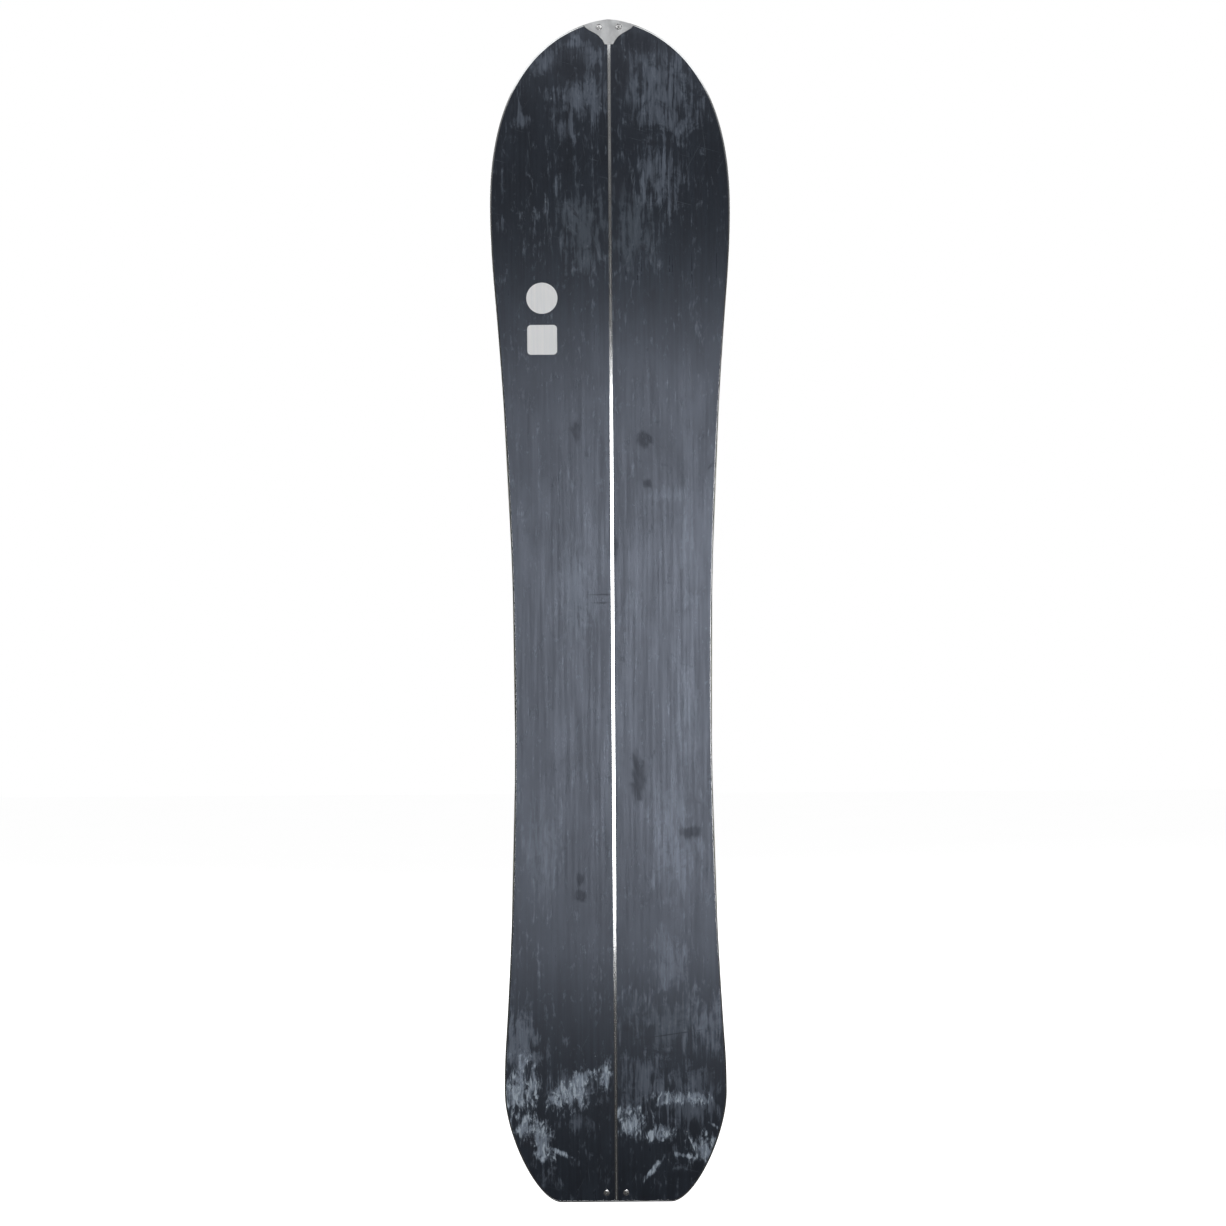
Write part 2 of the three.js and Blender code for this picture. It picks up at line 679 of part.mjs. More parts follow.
function extrudePlate(shape) {
  const settings = { depth: HOOK_PLATE_THICKNESS, bevelEnabled: false, curveSegments: 4 };
  const plate = new THREE.ExtrudeGeometry(shape, settings);
  return plate.rotateX(Math.PI / 2).translate(0, HOOK_PLATE_LOW + HOOK_PLATE_THICKNESS, 0);
}

const HOOK_ARM_LOW = HOOK_PLATE_LOW + HOOK_PLATE_THICKNESS + WORKING_GAP;

function hookStud(foot) {
  const headLow = HOOK_ARM_LOW + HOOK_ARM_THICKNESS + WORKING_GAP;
  const shank = [
    [0, foot],
    [HOOK_SHOULDER_RADIUS, foot],
  ];
  return turned([...shank, ...studHead(HOOK_SHOULDER_RADIUS, headLow, HOOK_HEAD_RADIUS)], ROUND_SIDES);
}

// The plate that carries the hook, with a hole for its rivet.
function hookBase() {
  const shape = hookPlate();
  const hole = new THREE.Path();
  hole.absarc(HOOK_PIVOT_X, 0, HOOK_SHOULDER_RADIUS + FIT_GAP, 0, 2 * Math.PI, true);
  shape.holes.push(hole);
  return extrudePlate(shape);
}

// The plate with its catch stud, made in one piece.
function hookCatch() {
  const stud = hookStud(HOOK_PLATE_LOW + HOOK_PLATE_THICKNESS / 2).translate(HOOK_PIVOT_X, 0, 0);
  return join([extrudePlate(hookPlate()), stud]);
}

function hookScrew() {
  const headLow = HOOK_PLATE_LOW + HOOK_PLATE_THICKNESS + FIT_GAP;
  const profile = [
    [0, -HOOK_SCREW_DEPTH],
    [HOOK_SCREW_RADIUS, -HOOK_SCREW_DEPTH],
    [HOOK_SCREW_RADIUS, headLow],
    [HOOK_SCREW_HEAD_RADIUS, headLow],
    [HOOK_SCREW_HEAD_RADIUS, headLow + SCREW_RIM_HEIGHT],
    [HOOK_SCREW_HEAD_RADIUS - SCREW_SLOPE, headLow + SCREW_HEAD_HEIGHT],
    [0, headLow + SCREW_HEAD_HEIGHT],
  ];
  return turned(profile, ROUND_SIDES);
}

// ---- assembly -----------------------------------------------------------------------------

function finished(name, geometry, finish) {
  const mesh = new THREE.Mesh(geometry, new THREE.MeshStandardMaterial(FINISHES[finish]));
  mesh.name = name;
  return mesh;
}

// The same solid on the other side of the seam.
function mirrored(geometry) {
  const copy = geometry.clone().scale(-1, 1, 1);
  const faces = Array.from(copy.index.array);
  for (let i = 0; i < faces.length; i += 3) {
    [faces[i], faces[i + 1]] = [faces[i + 1], faces[i]];
  }
  copy.setIndex(faces);
  copy.computeVertexNormals();
  return copy;
}

// The mesh of each half, from one solid made for the right-hand one.
function pair(name, geometry, finish) {
  return [
    finished(`right_${name}`, geometry, finish),
    finished(`left_${name}`, mirrored(geometry), finish),
  ];
}

// A group on the snow side at a place along the seam, square to the board.
function snowSideFrame(z) {
  const frame = new THREE.Group();
  frame.position.copy(bend(0, z, 0));
  frame.rotation.x = -lean(z);
  return frame;
}

// A group on the top side at a place along the seam, square to the topsheet.
function topFrame(z) {
  const reach = 15;
  const above = bend(0, z + reach, depths.sheetTop(z + reach));
  const below = bend(0, z - reach, depths.sheetTop(z - reach));
  const frame = new THREE.Group();
  frame.position.copy(bend(0, z, depths.sheetTop(z)));
  frame.rotation.x = -Math.atan2(above.y - below.y, above.z - below.z);
  return frame;
}

function placed(mesh, x, y, z) {
  mesh.position.set(x, y, z);
  return mesh;
}

function boardLayers() {
  const board = new THREE.Group();
  board.add(
    ...pair("base_sheet", baseSheet(), "base"),
    ...pair("nose_plate", nosePlate(), "plate"),
    ...pair("outer_edge", outerEdge(), "steel"),
    ...pair("inner_edge", innerEdge(), "steel"),
    ...pair("lower_laminate", lowerLaminate(), "laminate"),
    ...pair("wood_core", woodCore(), "core"),
    ...pair("outer_sidewall", outerSidewall(), "sidewall"),
    ...pair("inner_sidewall", innerSidewall(), "sidewall"),
    ...pair("upper_laminate", upperLaminate(), "laminate"),
    ...pair("topsheet", topsheet(), "topsheet"),
  );
  for (const [group, places] of Object.entries(insertGroups)) {
    board.add(...pair(`${group}_insert_strip`, insertStrip(places), "insert"));
  }
  return board;
}

function endScrews(end, z) {
  const frame = snowSideFrame(z);
  frame.add(placed(finished(`right_${end}_screw`, endScrew(z), "steel"), END_SCREW_X, 0, 0));
  frame.add(placed(finished(`left_${end}_screw`, endScrew(z), "steel"), -END_SCREW_X, 0, 0));
  return frame;
}

// An end clip: the arm turns on the left half's bush and hooks the right half's post.
// The arm is parked along the seam, towards the middle of the board.
function endClip(end, z, parkedUp) {
  const frame = topFrame(z);
  const foot = CORE_LOW + FIT_GAP - depths.sheetTop(z);
  const armGeometry = hookArm({
    reach: 2 * END_SCREW_X,
    halfWidth: CLIP_ARM_HALF_WIDTH,
    thickness: CLIP_ARM_THICKNESS,
    pivotRadius: CLIP_SHOULDER_RADIUS,
    postRadius: CLIP_SHOULDER_RADIUS,
  });
  const arm = finished(`${end}_clip_arm`, armGeometry, "clip");
  arm.rotation.set(parkedUp ? Math.PI : 0, Math.PI / 2, 0);
  frame.add(
    placed(finished(`${end}_clip_bush`, clipBush(foot), "clip"), -END_SCREW_X, 0, 0),
    placed(finished(`${end}_clip_washer`, clipWasher(), "washer"), -END_SCREW_X, 0, 0),
    placed(arm, -END_SCREW_X, CLIP_ARM_LOW + CLIP_ARM_THICKNESS / 2, 0),
    placed(finished(`${end}_clip_post`, clipPost(foot), "clip"), END_SCREW_X, 0, 0),
  );
  return frame;
}

// A board hook between the feet and the ends, made like the clips but on its own plates.
function boardHook(end, z) {
  const frame = topFrame(z);
  const armGeometry = hookArm({
    reach: 2 * HOOK_PIVOT_X,
    halfWidth: HOOK_ARM_HALF_WIDTH,
    thickness: HOOK_ARM_THICKNESS,
    pivotRadius: HOOK_SHOULDER_RADIUS,
    postRadius: HOOK_SHOULDER_RADIUS,
  });
  const arm = finished(`${end}_hook_arm`, armGeometry, "clip");
  arm.rotation.y = Math.PI / 2;
  frame.add(
    finished(`${end}_hook_base`, mirrored(fromManifold(toManifold(hookBase()))), "hookPlate"),
    finished(`${end}_hook_catch`, hookCatch(), "hookPlate"),
    placed(finished(`${end}_hook_rivet`, hookStud(HOOK_PLATE_LOW), "clip"), -HOOK_PIVOT_X, 0, 0),
    placed(arm, -HOOK_PIVOT_X, HOOK_ARM_LOW + HOOK_ARM_THICKNESS / 2, 0),
    ...hookScrews(end),
  );
  return frame;
}

function hookScrews(end) {
  const screws = [];
  for (const [half, x] of [["left", -HOOK_SCREW_X], ["right", HOOK_SCREW_X]]) {
    for (const [place, z] of [["upper", HOOK_SCREW_Z], ["lower", -HOOK_SCREW_Z]]) {
      const name = `${half}_${end}_hook_screw_${place}`;
      screws.push(placed(finished(name, hookScrew(), "steel"), x, 0, z));
    }
  }
  return screws;
}

const splitboard = new THREE.Group();
splitboard.add(
  boardLayers(),
  endScrews("nose", NOSE_SCREW_Z),
  endScrews("tail", TAIL_SCREW_Z),
  endClip("nose", NOSE_SCREW_Z, false),
  endClip("tail", TAIL_SCREW_Z, true),
  boardHook("front", FRONT_HOOK_Z),
  boardHook("rear", REAR_HOOK_Z),
);

export default splitboard;
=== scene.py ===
# A splitboard: a snowboard made as two halves that lock together, standing with its nose up.
# X runs across the board, Z along it and Y through it. The snow side faces -Y.
# Left and right are as seen from the snow side. Lengths are in metres.
# The board's shape repeats the formulas of the CAD part, in finer steps.

import json
import math

import bmesh
import bpy
from mathutils import Matrix, Vector


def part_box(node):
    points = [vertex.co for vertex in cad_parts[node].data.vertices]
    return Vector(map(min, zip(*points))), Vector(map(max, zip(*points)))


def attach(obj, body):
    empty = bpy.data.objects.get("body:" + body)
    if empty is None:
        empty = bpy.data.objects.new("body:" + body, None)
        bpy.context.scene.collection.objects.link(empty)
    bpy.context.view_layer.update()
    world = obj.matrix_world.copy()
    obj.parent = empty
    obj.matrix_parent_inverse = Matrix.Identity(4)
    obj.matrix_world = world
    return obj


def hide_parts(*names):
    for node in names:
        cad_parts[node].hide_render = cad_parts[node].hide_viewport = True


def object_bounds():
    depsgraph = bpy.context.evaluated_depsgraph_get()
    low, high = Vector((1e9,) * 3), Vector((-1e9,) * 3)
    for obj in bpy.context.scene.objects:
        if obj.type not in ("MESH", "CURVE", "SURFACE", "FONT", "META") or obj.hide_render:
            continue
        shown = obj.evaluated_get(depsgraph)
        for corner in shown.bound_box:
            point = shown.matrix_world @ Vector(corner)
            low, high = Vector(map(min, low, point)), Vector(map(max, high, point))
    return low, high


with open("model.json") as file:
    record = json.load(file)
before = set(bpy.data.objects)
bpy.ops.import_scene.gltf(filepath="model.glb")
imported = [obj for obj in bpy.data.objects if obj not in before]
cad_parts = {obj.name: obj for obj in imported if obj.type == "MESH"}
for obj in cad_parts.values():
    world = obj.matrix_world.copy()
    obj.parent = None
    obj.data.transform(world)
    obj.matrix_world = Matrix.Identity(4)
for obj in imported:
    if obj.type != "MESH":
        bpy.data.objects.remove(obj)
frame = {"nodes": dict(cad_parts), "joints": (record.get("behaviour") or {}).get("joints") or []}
cad_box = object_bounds()

MM = 0.001
HALVES = {"right": 1, "left": -1}

# Outline of one half, measured from the seam and from the middle of the length.
TIP_Z = 800 * MM
TAIL_Z = -800 * MM
NOSE_HALF_WIDTH = 161.4 * MM
NOSE_LENGTH = 256 * MM
NOSE_SHOULDER_DROP = 6 * MM
WAIST_HALF_WIDTH = 132.2 * MM
WAIST_Z = -136.6 * MM
SIDECUT_RADIUS = 6717 * MM
SIDECUT_TOP_Z = 430 * MM
SIDECUT_BOTTOM_Z = -590 * MM
TAIL_HALF_WIDTH = 149.3 * MM
TAIL_LENGTH = 150 * MM
TAIL_END_HALF_WIDTH = 73.7 * MM
TAIL_SIDE_PULL = 57.8 * MM
TAIL_END_PULL = 32.4 * MM

# Side view.
NOSE_CONTACT_Z = 300 * MM
NOSE_RISE = 52 * MM
NOSE_RISE_POWER = 2.5
TAIL_CONTACT_Z = -455 * MM
TAIL_RISE = 18 * MM
TAIL_RISE_POWER = 2.2

# Layers, from the snow side up.
BASE_THICKNESS = 1.3 * MM
EDGE_WIDTH = 2 * MM
EDGE_HEIGHT = 2.1 * MM
BASE_BEVEL = 0.22 * MM
CORE_LOW = 2.3 * MM
CORE_MIDDLE = 4.6 * MM
CORE_NOSE = 0.9 * MM
CORE_TAIL = 1.3 * MM
BOND_LINE = 0.15 * MM
UPPER_LAMINATE = 0.6 * MM
TOPSHEET_THICKNESS = 0.5 * MM
OUTER_SIDEWALL_WIDTH = 6 * MM
INNER_SIDEWALL_WIDTH = 4 * MM
SEAM = 0.02 * MM
FIT = 0.2 * MM
HAIRLINE = 0.05 * MM

# Nose plate.
PLATE_CORNER_T = 0.298
PLATE_STEM_HALF_WIDTH = 5.6 * MM
PLATE_LENGTH = 35.3 * MM
PLATE_UPPER_PULL = Vector((27, -19)) * MM
PLATE_LOWER_PULL = Vector((13, -17)) * MM

# Fasteners, clips and hooks.
END_SCREW_X = 13.2 * MM
END_SCREW_HEAD_RADIUS = 4.2 * MM
END_SCREW_RADIUS = 1.5 * MM
COUNTERSINK_DEPTH = 2.3 * MM
INSERT_RADIUS = 4 * MM
INSERT_BORE_RADIUS = 2.5 * MM
INSERT_PITCH = 1 * MM
STRIP_THICKNESS = 0.8 * MM
STRIP_MARGIN = 9 * MM
BUSH_RADIUS = 2.6 * MM
CLIP_SHOULDER_RADIUS = 2.85 * MM
CLIP_ARM_LOW = 1.4 * MM
CLIP_ARM_THICKNESS = 2.2 * MM
HOOK_PIVOT_X = 16 * MM
HOOK_SHOULDER_RADIUS = 3.3 * MM
HOOK_PLATE_LOW = 0.3 * MM
HOOK_PLATE_THICKNESS = 2 * MM
HOOK_ARM_LOW = 2.7 * MM
HOOK_ARM_THICKNESS = 3 * MM
HOOK_SCREW_X = 30 * MM
HOOK_SCREW_Z = 15 * MM
HOOK_SCREW_HEAD_RADIUS = 4.2 * MM
HOOK_SCREW_RADIUS = 2.2 * MM
HOOK_WALL = 4 * MM
RUNNING_GAP = 0.6 * MM
WORKING_GAP = 0.4 * MM
LIP_ANGLE = 0.21

SHARP_ANGLE = math.radians(48)
ROUND = 64


# ---- the board's own shape ----

def rise(z):
    """How far the snow side rises above its flat, at a place along the board."""
    if z > NOSE_CONTACT_Z:
        return NOSE_RISE * ((z - NOSE_CONTACT_Z) / (TIP_Z - NOSE_CONTACT_Z)) ** NOSE_RISE_POWER
    if z < TAIL_CONTACT_Z:
        return TAIL_RISE * ((z - TAIL_CONTACT_Z) / (TAIL_Z - TAIL_CONTACT_Z)) ** TAIL_RISE_POWER
    return 0


def lean(z):
    """The lean of the board from the vertical, at a place along it."""
    step = 0.5 * MM
    return math.atan((rise(z + step) - rise(z - step)) / (2 * step))


def bend(x, z, depth):
    """The place in space of a point of the outline, at a depth from the snow side."""
    angle = lean(z)
    return Vector((x, rise(z) + depth * math.cos(angle), z - depth * math.sin(angle)))


def smoothstep(value, low, high):
    t = min(max((value - low) / (high - low), 0), 1)
    return t * t * (3 - 2 * t)


def core_top(z):
    towards_nose = smoothstep(z, NOSE_CONTACT_Z, TIP_Z)
    towards_tail = smoothstep(-z, -TAIL_CONTACT_Z, -TAIL_Z)
    thickness = CORE_MIDDLE + (CORE_NOSE - CORE_MIDDLE) * towards_nose
    return CORE_LOW + thickness + (CORE_TAIL - thickness) * towards_tail


def sidewall_top(z):
    """Where the sidewalls end, level with the glue over the core."""
    return core_top(z) + BOND_LINE


def laminate_top(z):
    return sidewall_top(z) + UPPER_LAMINATE


def sheet_top(z):
    return laminate_top(z) + BOND_LINE + TOPSHEET_THICKNESS


def at_depth(depth):
    """A layer's limit that is the same all along the board."""
    return lambda z: depth


def sidecut_x(z):
    across = math.sqrt(SIDECUT_RADIUS ** 2 - (z - WAIST_Z) ** 2)
    return WAIST_HALF_WIDTH + SIDECUT_RADIUS - across


def sidecut_slope(z):
    return (z - WAIST_Z) / math.sqrt(SIDECUT_RADIUS ** 2 - (z - WAIST_Z) ** 2)


def sidecut_blend(z, widest_x, widest_z):
    """The control points of the short curve from the sidecut to the widest point beyond it."""
    corner_z = z + (widest_x - sidecut_x(z)) / sidecut_slope(z)
    return [Vector((sidecut_x(z), z)), Vector((widest_x, corner_z)), Vector((widest_x, widest_z))]


NOSE_CURVE = [
    Vector((0, TIP_Z)),
    Vector((0, TIP_Z)),
    Vector((NOSE_HALF_WIDTH, TIP_Z - NOSE_SHOULDER_DROP)),
    Vector((NOSE_HALF_WIDTH, TIP_Z - NOSE_LENGTH)),
]
TAIL_CURVE = [
    Vector((TAIL_HALF_WIDTH, TAIL_Z + TAIL_LENGTH)),
    Vector((TAIL_HALF_WIDTH, TAIL_Z + TAIL_LENGTH - TAIL_SIDE_PULL)),
    Vector((TAIL_END_HALF_WIDTH + TAIL_END_PULL, TAIL_Z)),
    Vector((TAIL_END_HALF_WIDTH, TAIL_Z)),
]


def bezier(control, t):
    points = list(control)
    while len(points) > 1:
        points = [a.lerp(b, t) for a, b in zip(points, points[1:])]
    return points[0]


def along(control, start, end, steps):
    """Points along a curve, without its first one."""
    return [bezier(control, start + (end - start) * i / steps) for i in range(1, steps + 1)]


def outline():
    """The outline of one half, from the tip round its outer side to the end of the tail."""
    nose_blend = sidecut_blend(SIDECUT_TOP_Z, NOSE_HALF_WIDTH, TIP_Z - NOSE_LENGTH)
    tail_blend = sidecut_blend(SIDECUT_BOTTOM_Z, TAIL_HALF_WIDTH, TAIL_Z + TAIL_LENGTH)
    steps = 68
    places = [SIDECUT_TOP_Z + (SIDECUT_BOTTOM_Z - SIDECUT_TOP_Z) * i / steps for i in range(1, steps + 1)]
    return [
        *along(NOSE_CURVE, 0, PLATE_CORNER_T, 24),
        *along(NOSE_CURVE, PLATE_CORNER_T, 1, 60),
        *along(nose_blend, 1, 0, 10),
        *[Vector((sidecut_x(z), z)) for z in places],
        *along(tail_blend, 0, 1, 10),
        *along(TAIL_CURVE, 0, 1, 48),
    ]


CONTOUR = outline()
PLATE_CORNER = bezier(NOSE_CURVE, PLATE_CORNER_T)


def outward(start, end):
    return Vector((start.y - end.y, end.x - start.x)).normalized()


def inset(distance):
    """The outline moved in by a distance."""
    moved = []
    for i, here in enumerate(CONTOUR):
        before = CONTOUR[i - 1] if i > 0 else Vector((-here.x, here.y))
        after = CONTOUR[i + 1] if i < len(CONTOUR) - 1 else Vector((0, here.y))
        normal = outward(before, here)
        bisector = (normal + outward(here, after)).normalized()
        moved.append(here - bisector * (distance / bisector.dot(normal)))
    return moved


def across_at(path, z):
    """How far out a path is at a place along the board."""
    for above, below in zip(path, path[1:]):
        if below.y <= z:
            return above.x + (below.x - above.x) * (z - above.y) / (below.y - above.y)
    return path[-1].x


# ---- solids ----

def swept(rings):
    """A closed solid through a row of rings that have the same number of corners."""
    bm = bmesh.new()
    rows = [[bm.verts.new(corner) for corner in ring] for ring in rings]
    for a, b in zip(rows, rows[1:]):
        for k in range(len(a)):
            after = (k + 1) % len(a)
            bm.faces.new((a[k], a[after], b[after], b[k]))
    bm.faces.new(rows[0])
    bm.faces.new(rows[-1][::-1])
    return bm


def ribbon(outer, inner, low, high, lift=0):
    """A layer between two paths that run down the board, from one depth to another.
    The lift is how much deeper its outer side starts."""
    rings = []
    for a, b in zip(outer, inner):
        rings.append([
            bend(a.x, a.y, low(a.y) + lift),
            bend(a.x, a.y, high(a.y)),
            bend(b.x, b.y, high(b.y)),
            bend(b.x, b.y, low(b.y)),
        ])
    return swept(rings)


def layer(path, seam_x, low, high):
    """A layer from a straight line beside the seam to a path."""
    outer = [here for here in path if here.x > seam_x + SEAM]
    return ribbon(outer, [Vector((seam_x, here.y)) for here in outer], low, high)


def seam_bar(inner_x, outer_x, top_z, bottom_z, low, high):
    steps = 180
    places = [top_z + (bottom_z - top_z) * i / steps for i in range(steps + 1)]
    outer = [Vector((outer_x, z)) for z in places]
    inner = [Vector((inner_x, z)) for z in places]
    return ribbon(outer, inner, low, high)


def stacked(loop, profile):
    """A solid through one closed outline, scaled about Y for each (scale, height) pair."""
    bm = bmesh.new()
    rings = []
    for scale, height in profile:
        corners = loop if scale > 0 else loop[:1]
        rings.append([bm.verts.new((scale * c.x, height, scale * c.y)) for c in corners])
    for a, b in zip(rings, rings[1:]):
        for k in range(len(loop)):
            corners = [a[k % len(a)], a[(k + 1) % len(a)], b[(k + 1) % len(b)], b[k % len(b)]]
            corners = list(dict.fromkeys(corners))
            if len(corners) > 2:
                bm.faces.new(corners)
    bmesh.ops.remove_doubles(bm, verts=bm.verts, dist=1e-7)
    return bm


def turned(profile, segments=ROUND):
    """A solid turned about Y, from (radius, height) pairs."""
    return stacked(circle(Vector((0, 0)), 1, segments), profile)


def arc(centre, radius, start, end, steps):
    """Points along an arc, both ends included."""
    angles = [start + (end - start) * i / steps for i in range(steps + 1)]
    return [centre + radius * Vector((math.cos(a), math.sin(a))) for a in angles]


def quarter_turn(steps):
    """Angles from 0 to a right angle, both included."""
    return [math.pi / 2 * i / steps for i in range(steps + 1)]


def circle(centre, radius, steps=ROUND):
    return arc(centre, radius, 0, 2 * math.pi, steps)[:-1]


def extruded(loops, low, high):
    """A flat plate in the XZ plane, from an outline and the outlines of its holes."""
    bm = bmesh.new()
    edges = []
    for loop in loops:
        verts = [bm.verts.new((corner.x, low, corner.y)) for corner in loop]
        edges += [bm.edges.new((a, b)) for a, b in zip(verts, verts[1:] + verts[:1])]
    bmesh.ops.triangle_fill(bm, use_beauty=True, edges=edges)
    grown = bmesh.ops.extrude_face_region(bm, geom=bm.faces[:])["geom"]
    raised = [vert for vert in grown if isinstance(vert, bmesh.types.BMVert)]
    bmesh.ops.translate(bm, verts=raised, vec=(0, high - low, 0))
    return bm


def merged(parts):
    """One bmesh from several."""
    whole = bmesh.new()
    for part in parts:
        mesh = bpy.data.meshes.new("part")
        part.to_mesh(mesh)
        part.free()
        whole.from_mesh(mesh)
        bpy.data.meshes.remove(mesh)
    return whole


def moved(bm, matrix):
    bmesh.ops.transform(bm, matrix=matrix, verts=bm.verts)
    return bm


def on_half(bm, side):
    """The solid as made for the right half, or its mirror image for the left one."""
    return moved(bm, Matrix.Scale(HALVES[side], 4, (1, 0, 0)))


def linked(name, data):
    """A new object in the scene."""
    piece = bpy.data.objects.new(name, data)
    bpy.context.scene.collection.objects.link(piece)
    return piece


def solid(name, bm):
    """A new object from a bmesh, with its faces pointing out."""
    bmesh.ops.recalc_face_normals(bm, faces=bm.faces)
    mesh = bpy.data.meshes.new(name)
    bm.to_mesh(mesh)
    bm.free()
    return linked(name, mesh)


def settle(piece):
    """Applies the piece's modifiers."""
    graph = bpy.context.evaluated_depsgraph_get()
    piece.data = bpy.data.meshes.new_from_object(piece.evaluated_get(graph))
    piece.modifiers.clear()


def soften(piece, width, segments=2):
    """Rounds the piece's sharp edges."""
    bevel = piece.modifiers.new("soften", "BEVEL")
    bevel.width = width
    bevel.segments = segments
    bevel.limit_method = "ANGLE"
    bevel.angle_limit = math.radians(35)
    settle(piece)
    return piece


def combine(piece, tool_bm, operation):
    """Cuts a solid out of the piece, or adds it."""
    tool = solid("tool", tool_bm)
    change = piece.modifiers.new("combine", "BOOLEAN")
    change.operation = operation
    change.solver = "EXACT"
    change.object = tool
    settle(piece)
    bpy.data.objects.remove(tool)
    return piece


def dress(piece, look, body, slot, *nodes):
    """Gives a finished piece its material and its body, and hides the CAD nodes that it stands for."""
    piece.data.materials.clear()
    piece.data.materials.append(look)
    piece.data.shade_smooth()
    piece.data.set_sharp_from_angle(angle=SHARP_ANGLE)
    weighted = piece.modifiers.new("flat faces stay flat", "WEIGHTED_NORMAL")
    weighted.keep_sharp = True
    settle(piece)
    if nodes:
        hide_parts(*nodes)
    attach(piece, body)
    return piece


# ---- materials ----

# A patch's reach through the board, far beyond its faces, and how gently a torn patch ends.
ANY_DEPTH = 1e3
TEAR_SOFTNESS = 0.8
WOOD_STRIP = 15 * MM


def feed(tree, socket, value):
    """Links an output to a socket, or sets the socket's value."""
    if isinstance(value, bpy.types.NodeSocket):
        tree.links.new(value, socket)
    else:
        socket.default_value = value


def add_node(tree, kind, inputs=None, **settings):
    """A new node. Its inputs are given by name, or by number where names repeat."""
    node = tree.nodes.new(kind)
    for name, value in settings.items():
        setattr(node, name, value)
    for key, value in (inputs or {}).items():
        feed(tree, node.inputs[key], value)
    return node


def soft_range(tree, value, low, high, to_low, to_high):
    """Moves a value from one range to another, with soft ends."""
    ranges = {"From Min": low, "From Max": high, "To Min": to_low, "To Max": to_high}
    inputs = {"Value": value, **ranges}
    return add_node(tree, "ShaderNodeMapRange", inputs, interpolation_type="SMOOTHSTEP").outputs["Result"]


def as_colour(value):
    """A colour output as it is, or red, green and blue made opaque."""
    return value if isinstance(value, bpy.types.NodeSocket) else (*value, 1)


class Look:
    """A material whose colour, roughness and relief come from nodes in object coordinates."""

    def __init__(self, name, metallic=0.0):
        self.material = bpy.data.materials.new(name)
        self.material.use_nodes = True
        self.tree = self.material.node_tree
        self.shader = self.tree.nodes["Principled BSDF"]
        self.shade("Metallic", metallic)
        self.place = self.add("ShaderNodeTexCoord").outputs["Object"]

    def shade(self, name, value):
        """Links or sets one input of the material's surface."""
        feed(self.tree, self.shader.inputs[name], value)

    def add(self, kind, inputs=None, **settings):
        return add_node(self.tree, kind, inputs, **settings)

    def noise(self, scale, detail=4.0, rough=0.5, warp=0.0, offset=0.0, turn=0.0):
        """A noise whose grain is 1/scale metres along each axis."""
        inputs = {"Vector": self.place, "Location": (offset, offset, offset), "Rotation": (0, turn, 0)}
        place = self.add("ShaderNodeMapping", inputs).outputs["Vector"]
        stretch = self.add("ShaderNodeVectorMath", {0: place, 1: scale}, operation="MULTIPLY")
        grain = {"Scale": 1, "Detail": detail, "Roughness": rough, "Distortion": warp}
        texture = self.add("ShaderNodeTexNoise", {"Vector": stretch.outputs["Vector"], **grain})
        return texture.outputs["Fac"]

    def spread(self, value, low, high, to_low=0.0, to_high=1.0):
        return soft_range(self.tree, value, low, high, to_low, to_high)

    def math(self, operation, a, b=0.0):
        return self.add("ShaderNodeMath", {0: a, 1: b}, operation=operation).outputs["Value"]

    def plus(self, a, b):
        return self.math("ADD", a, b)

    def minus(self, a, b):
        return self.math("SUBTRACT", a, b)

    def times(self, a, b):
        return self.math("MULTIPLY", a, b)

    def weighted(self, *shares):
        """The sum of several values, each times its weight."""
        total = None
        for value, weight in shares:
            share = self.times(value, weight)
            total = share if total is None else self.plus(total, share)
        return total

    def mix(self, factor, a, b):
        """One colour over another."""
        inputs = {"Factor": factor, 6: as_colour(a), 7: as_colour(b)}
        return self.add("ShaderNodeMix", inputs, data_type="RGBA").outputs[2]

    def patch(self, x, z, radius_x, radius_z, turn, soft):
        """1 inside an ellipse on the board, 0 outside it, at any depth."""
        inputs = {
            "Vector": self.place,
            "Location": (x, 0, z),
            "Rotation": (0, turn, 0),
            "Scale": (radius_x, ANY_DEPTH, radius_z),
        }
        place = self.add("ShaderNodeMapping", inputs, vector_type="TEXTURE").outputs["Vector"]
        length = self.add("ShaderNodeVectorMath", {0: place}, operation="LENGTH")
        return self.spread(length.outputs["Value"], 1 + soft, 1 - soft)

    def relief(self, height, distance, strength=1.0):
        inputs = {"Strength": strength, "Distance": distance, "Height": height}
        self.shade("Normal", self.add("ShaderNodeBump", inputs).outputs["Normal"])

    def finish(self, colour, roughness):
        self.shade("Base Color", as_colour(colour))
        self.shade("Roughness", roughness)
        return self.material


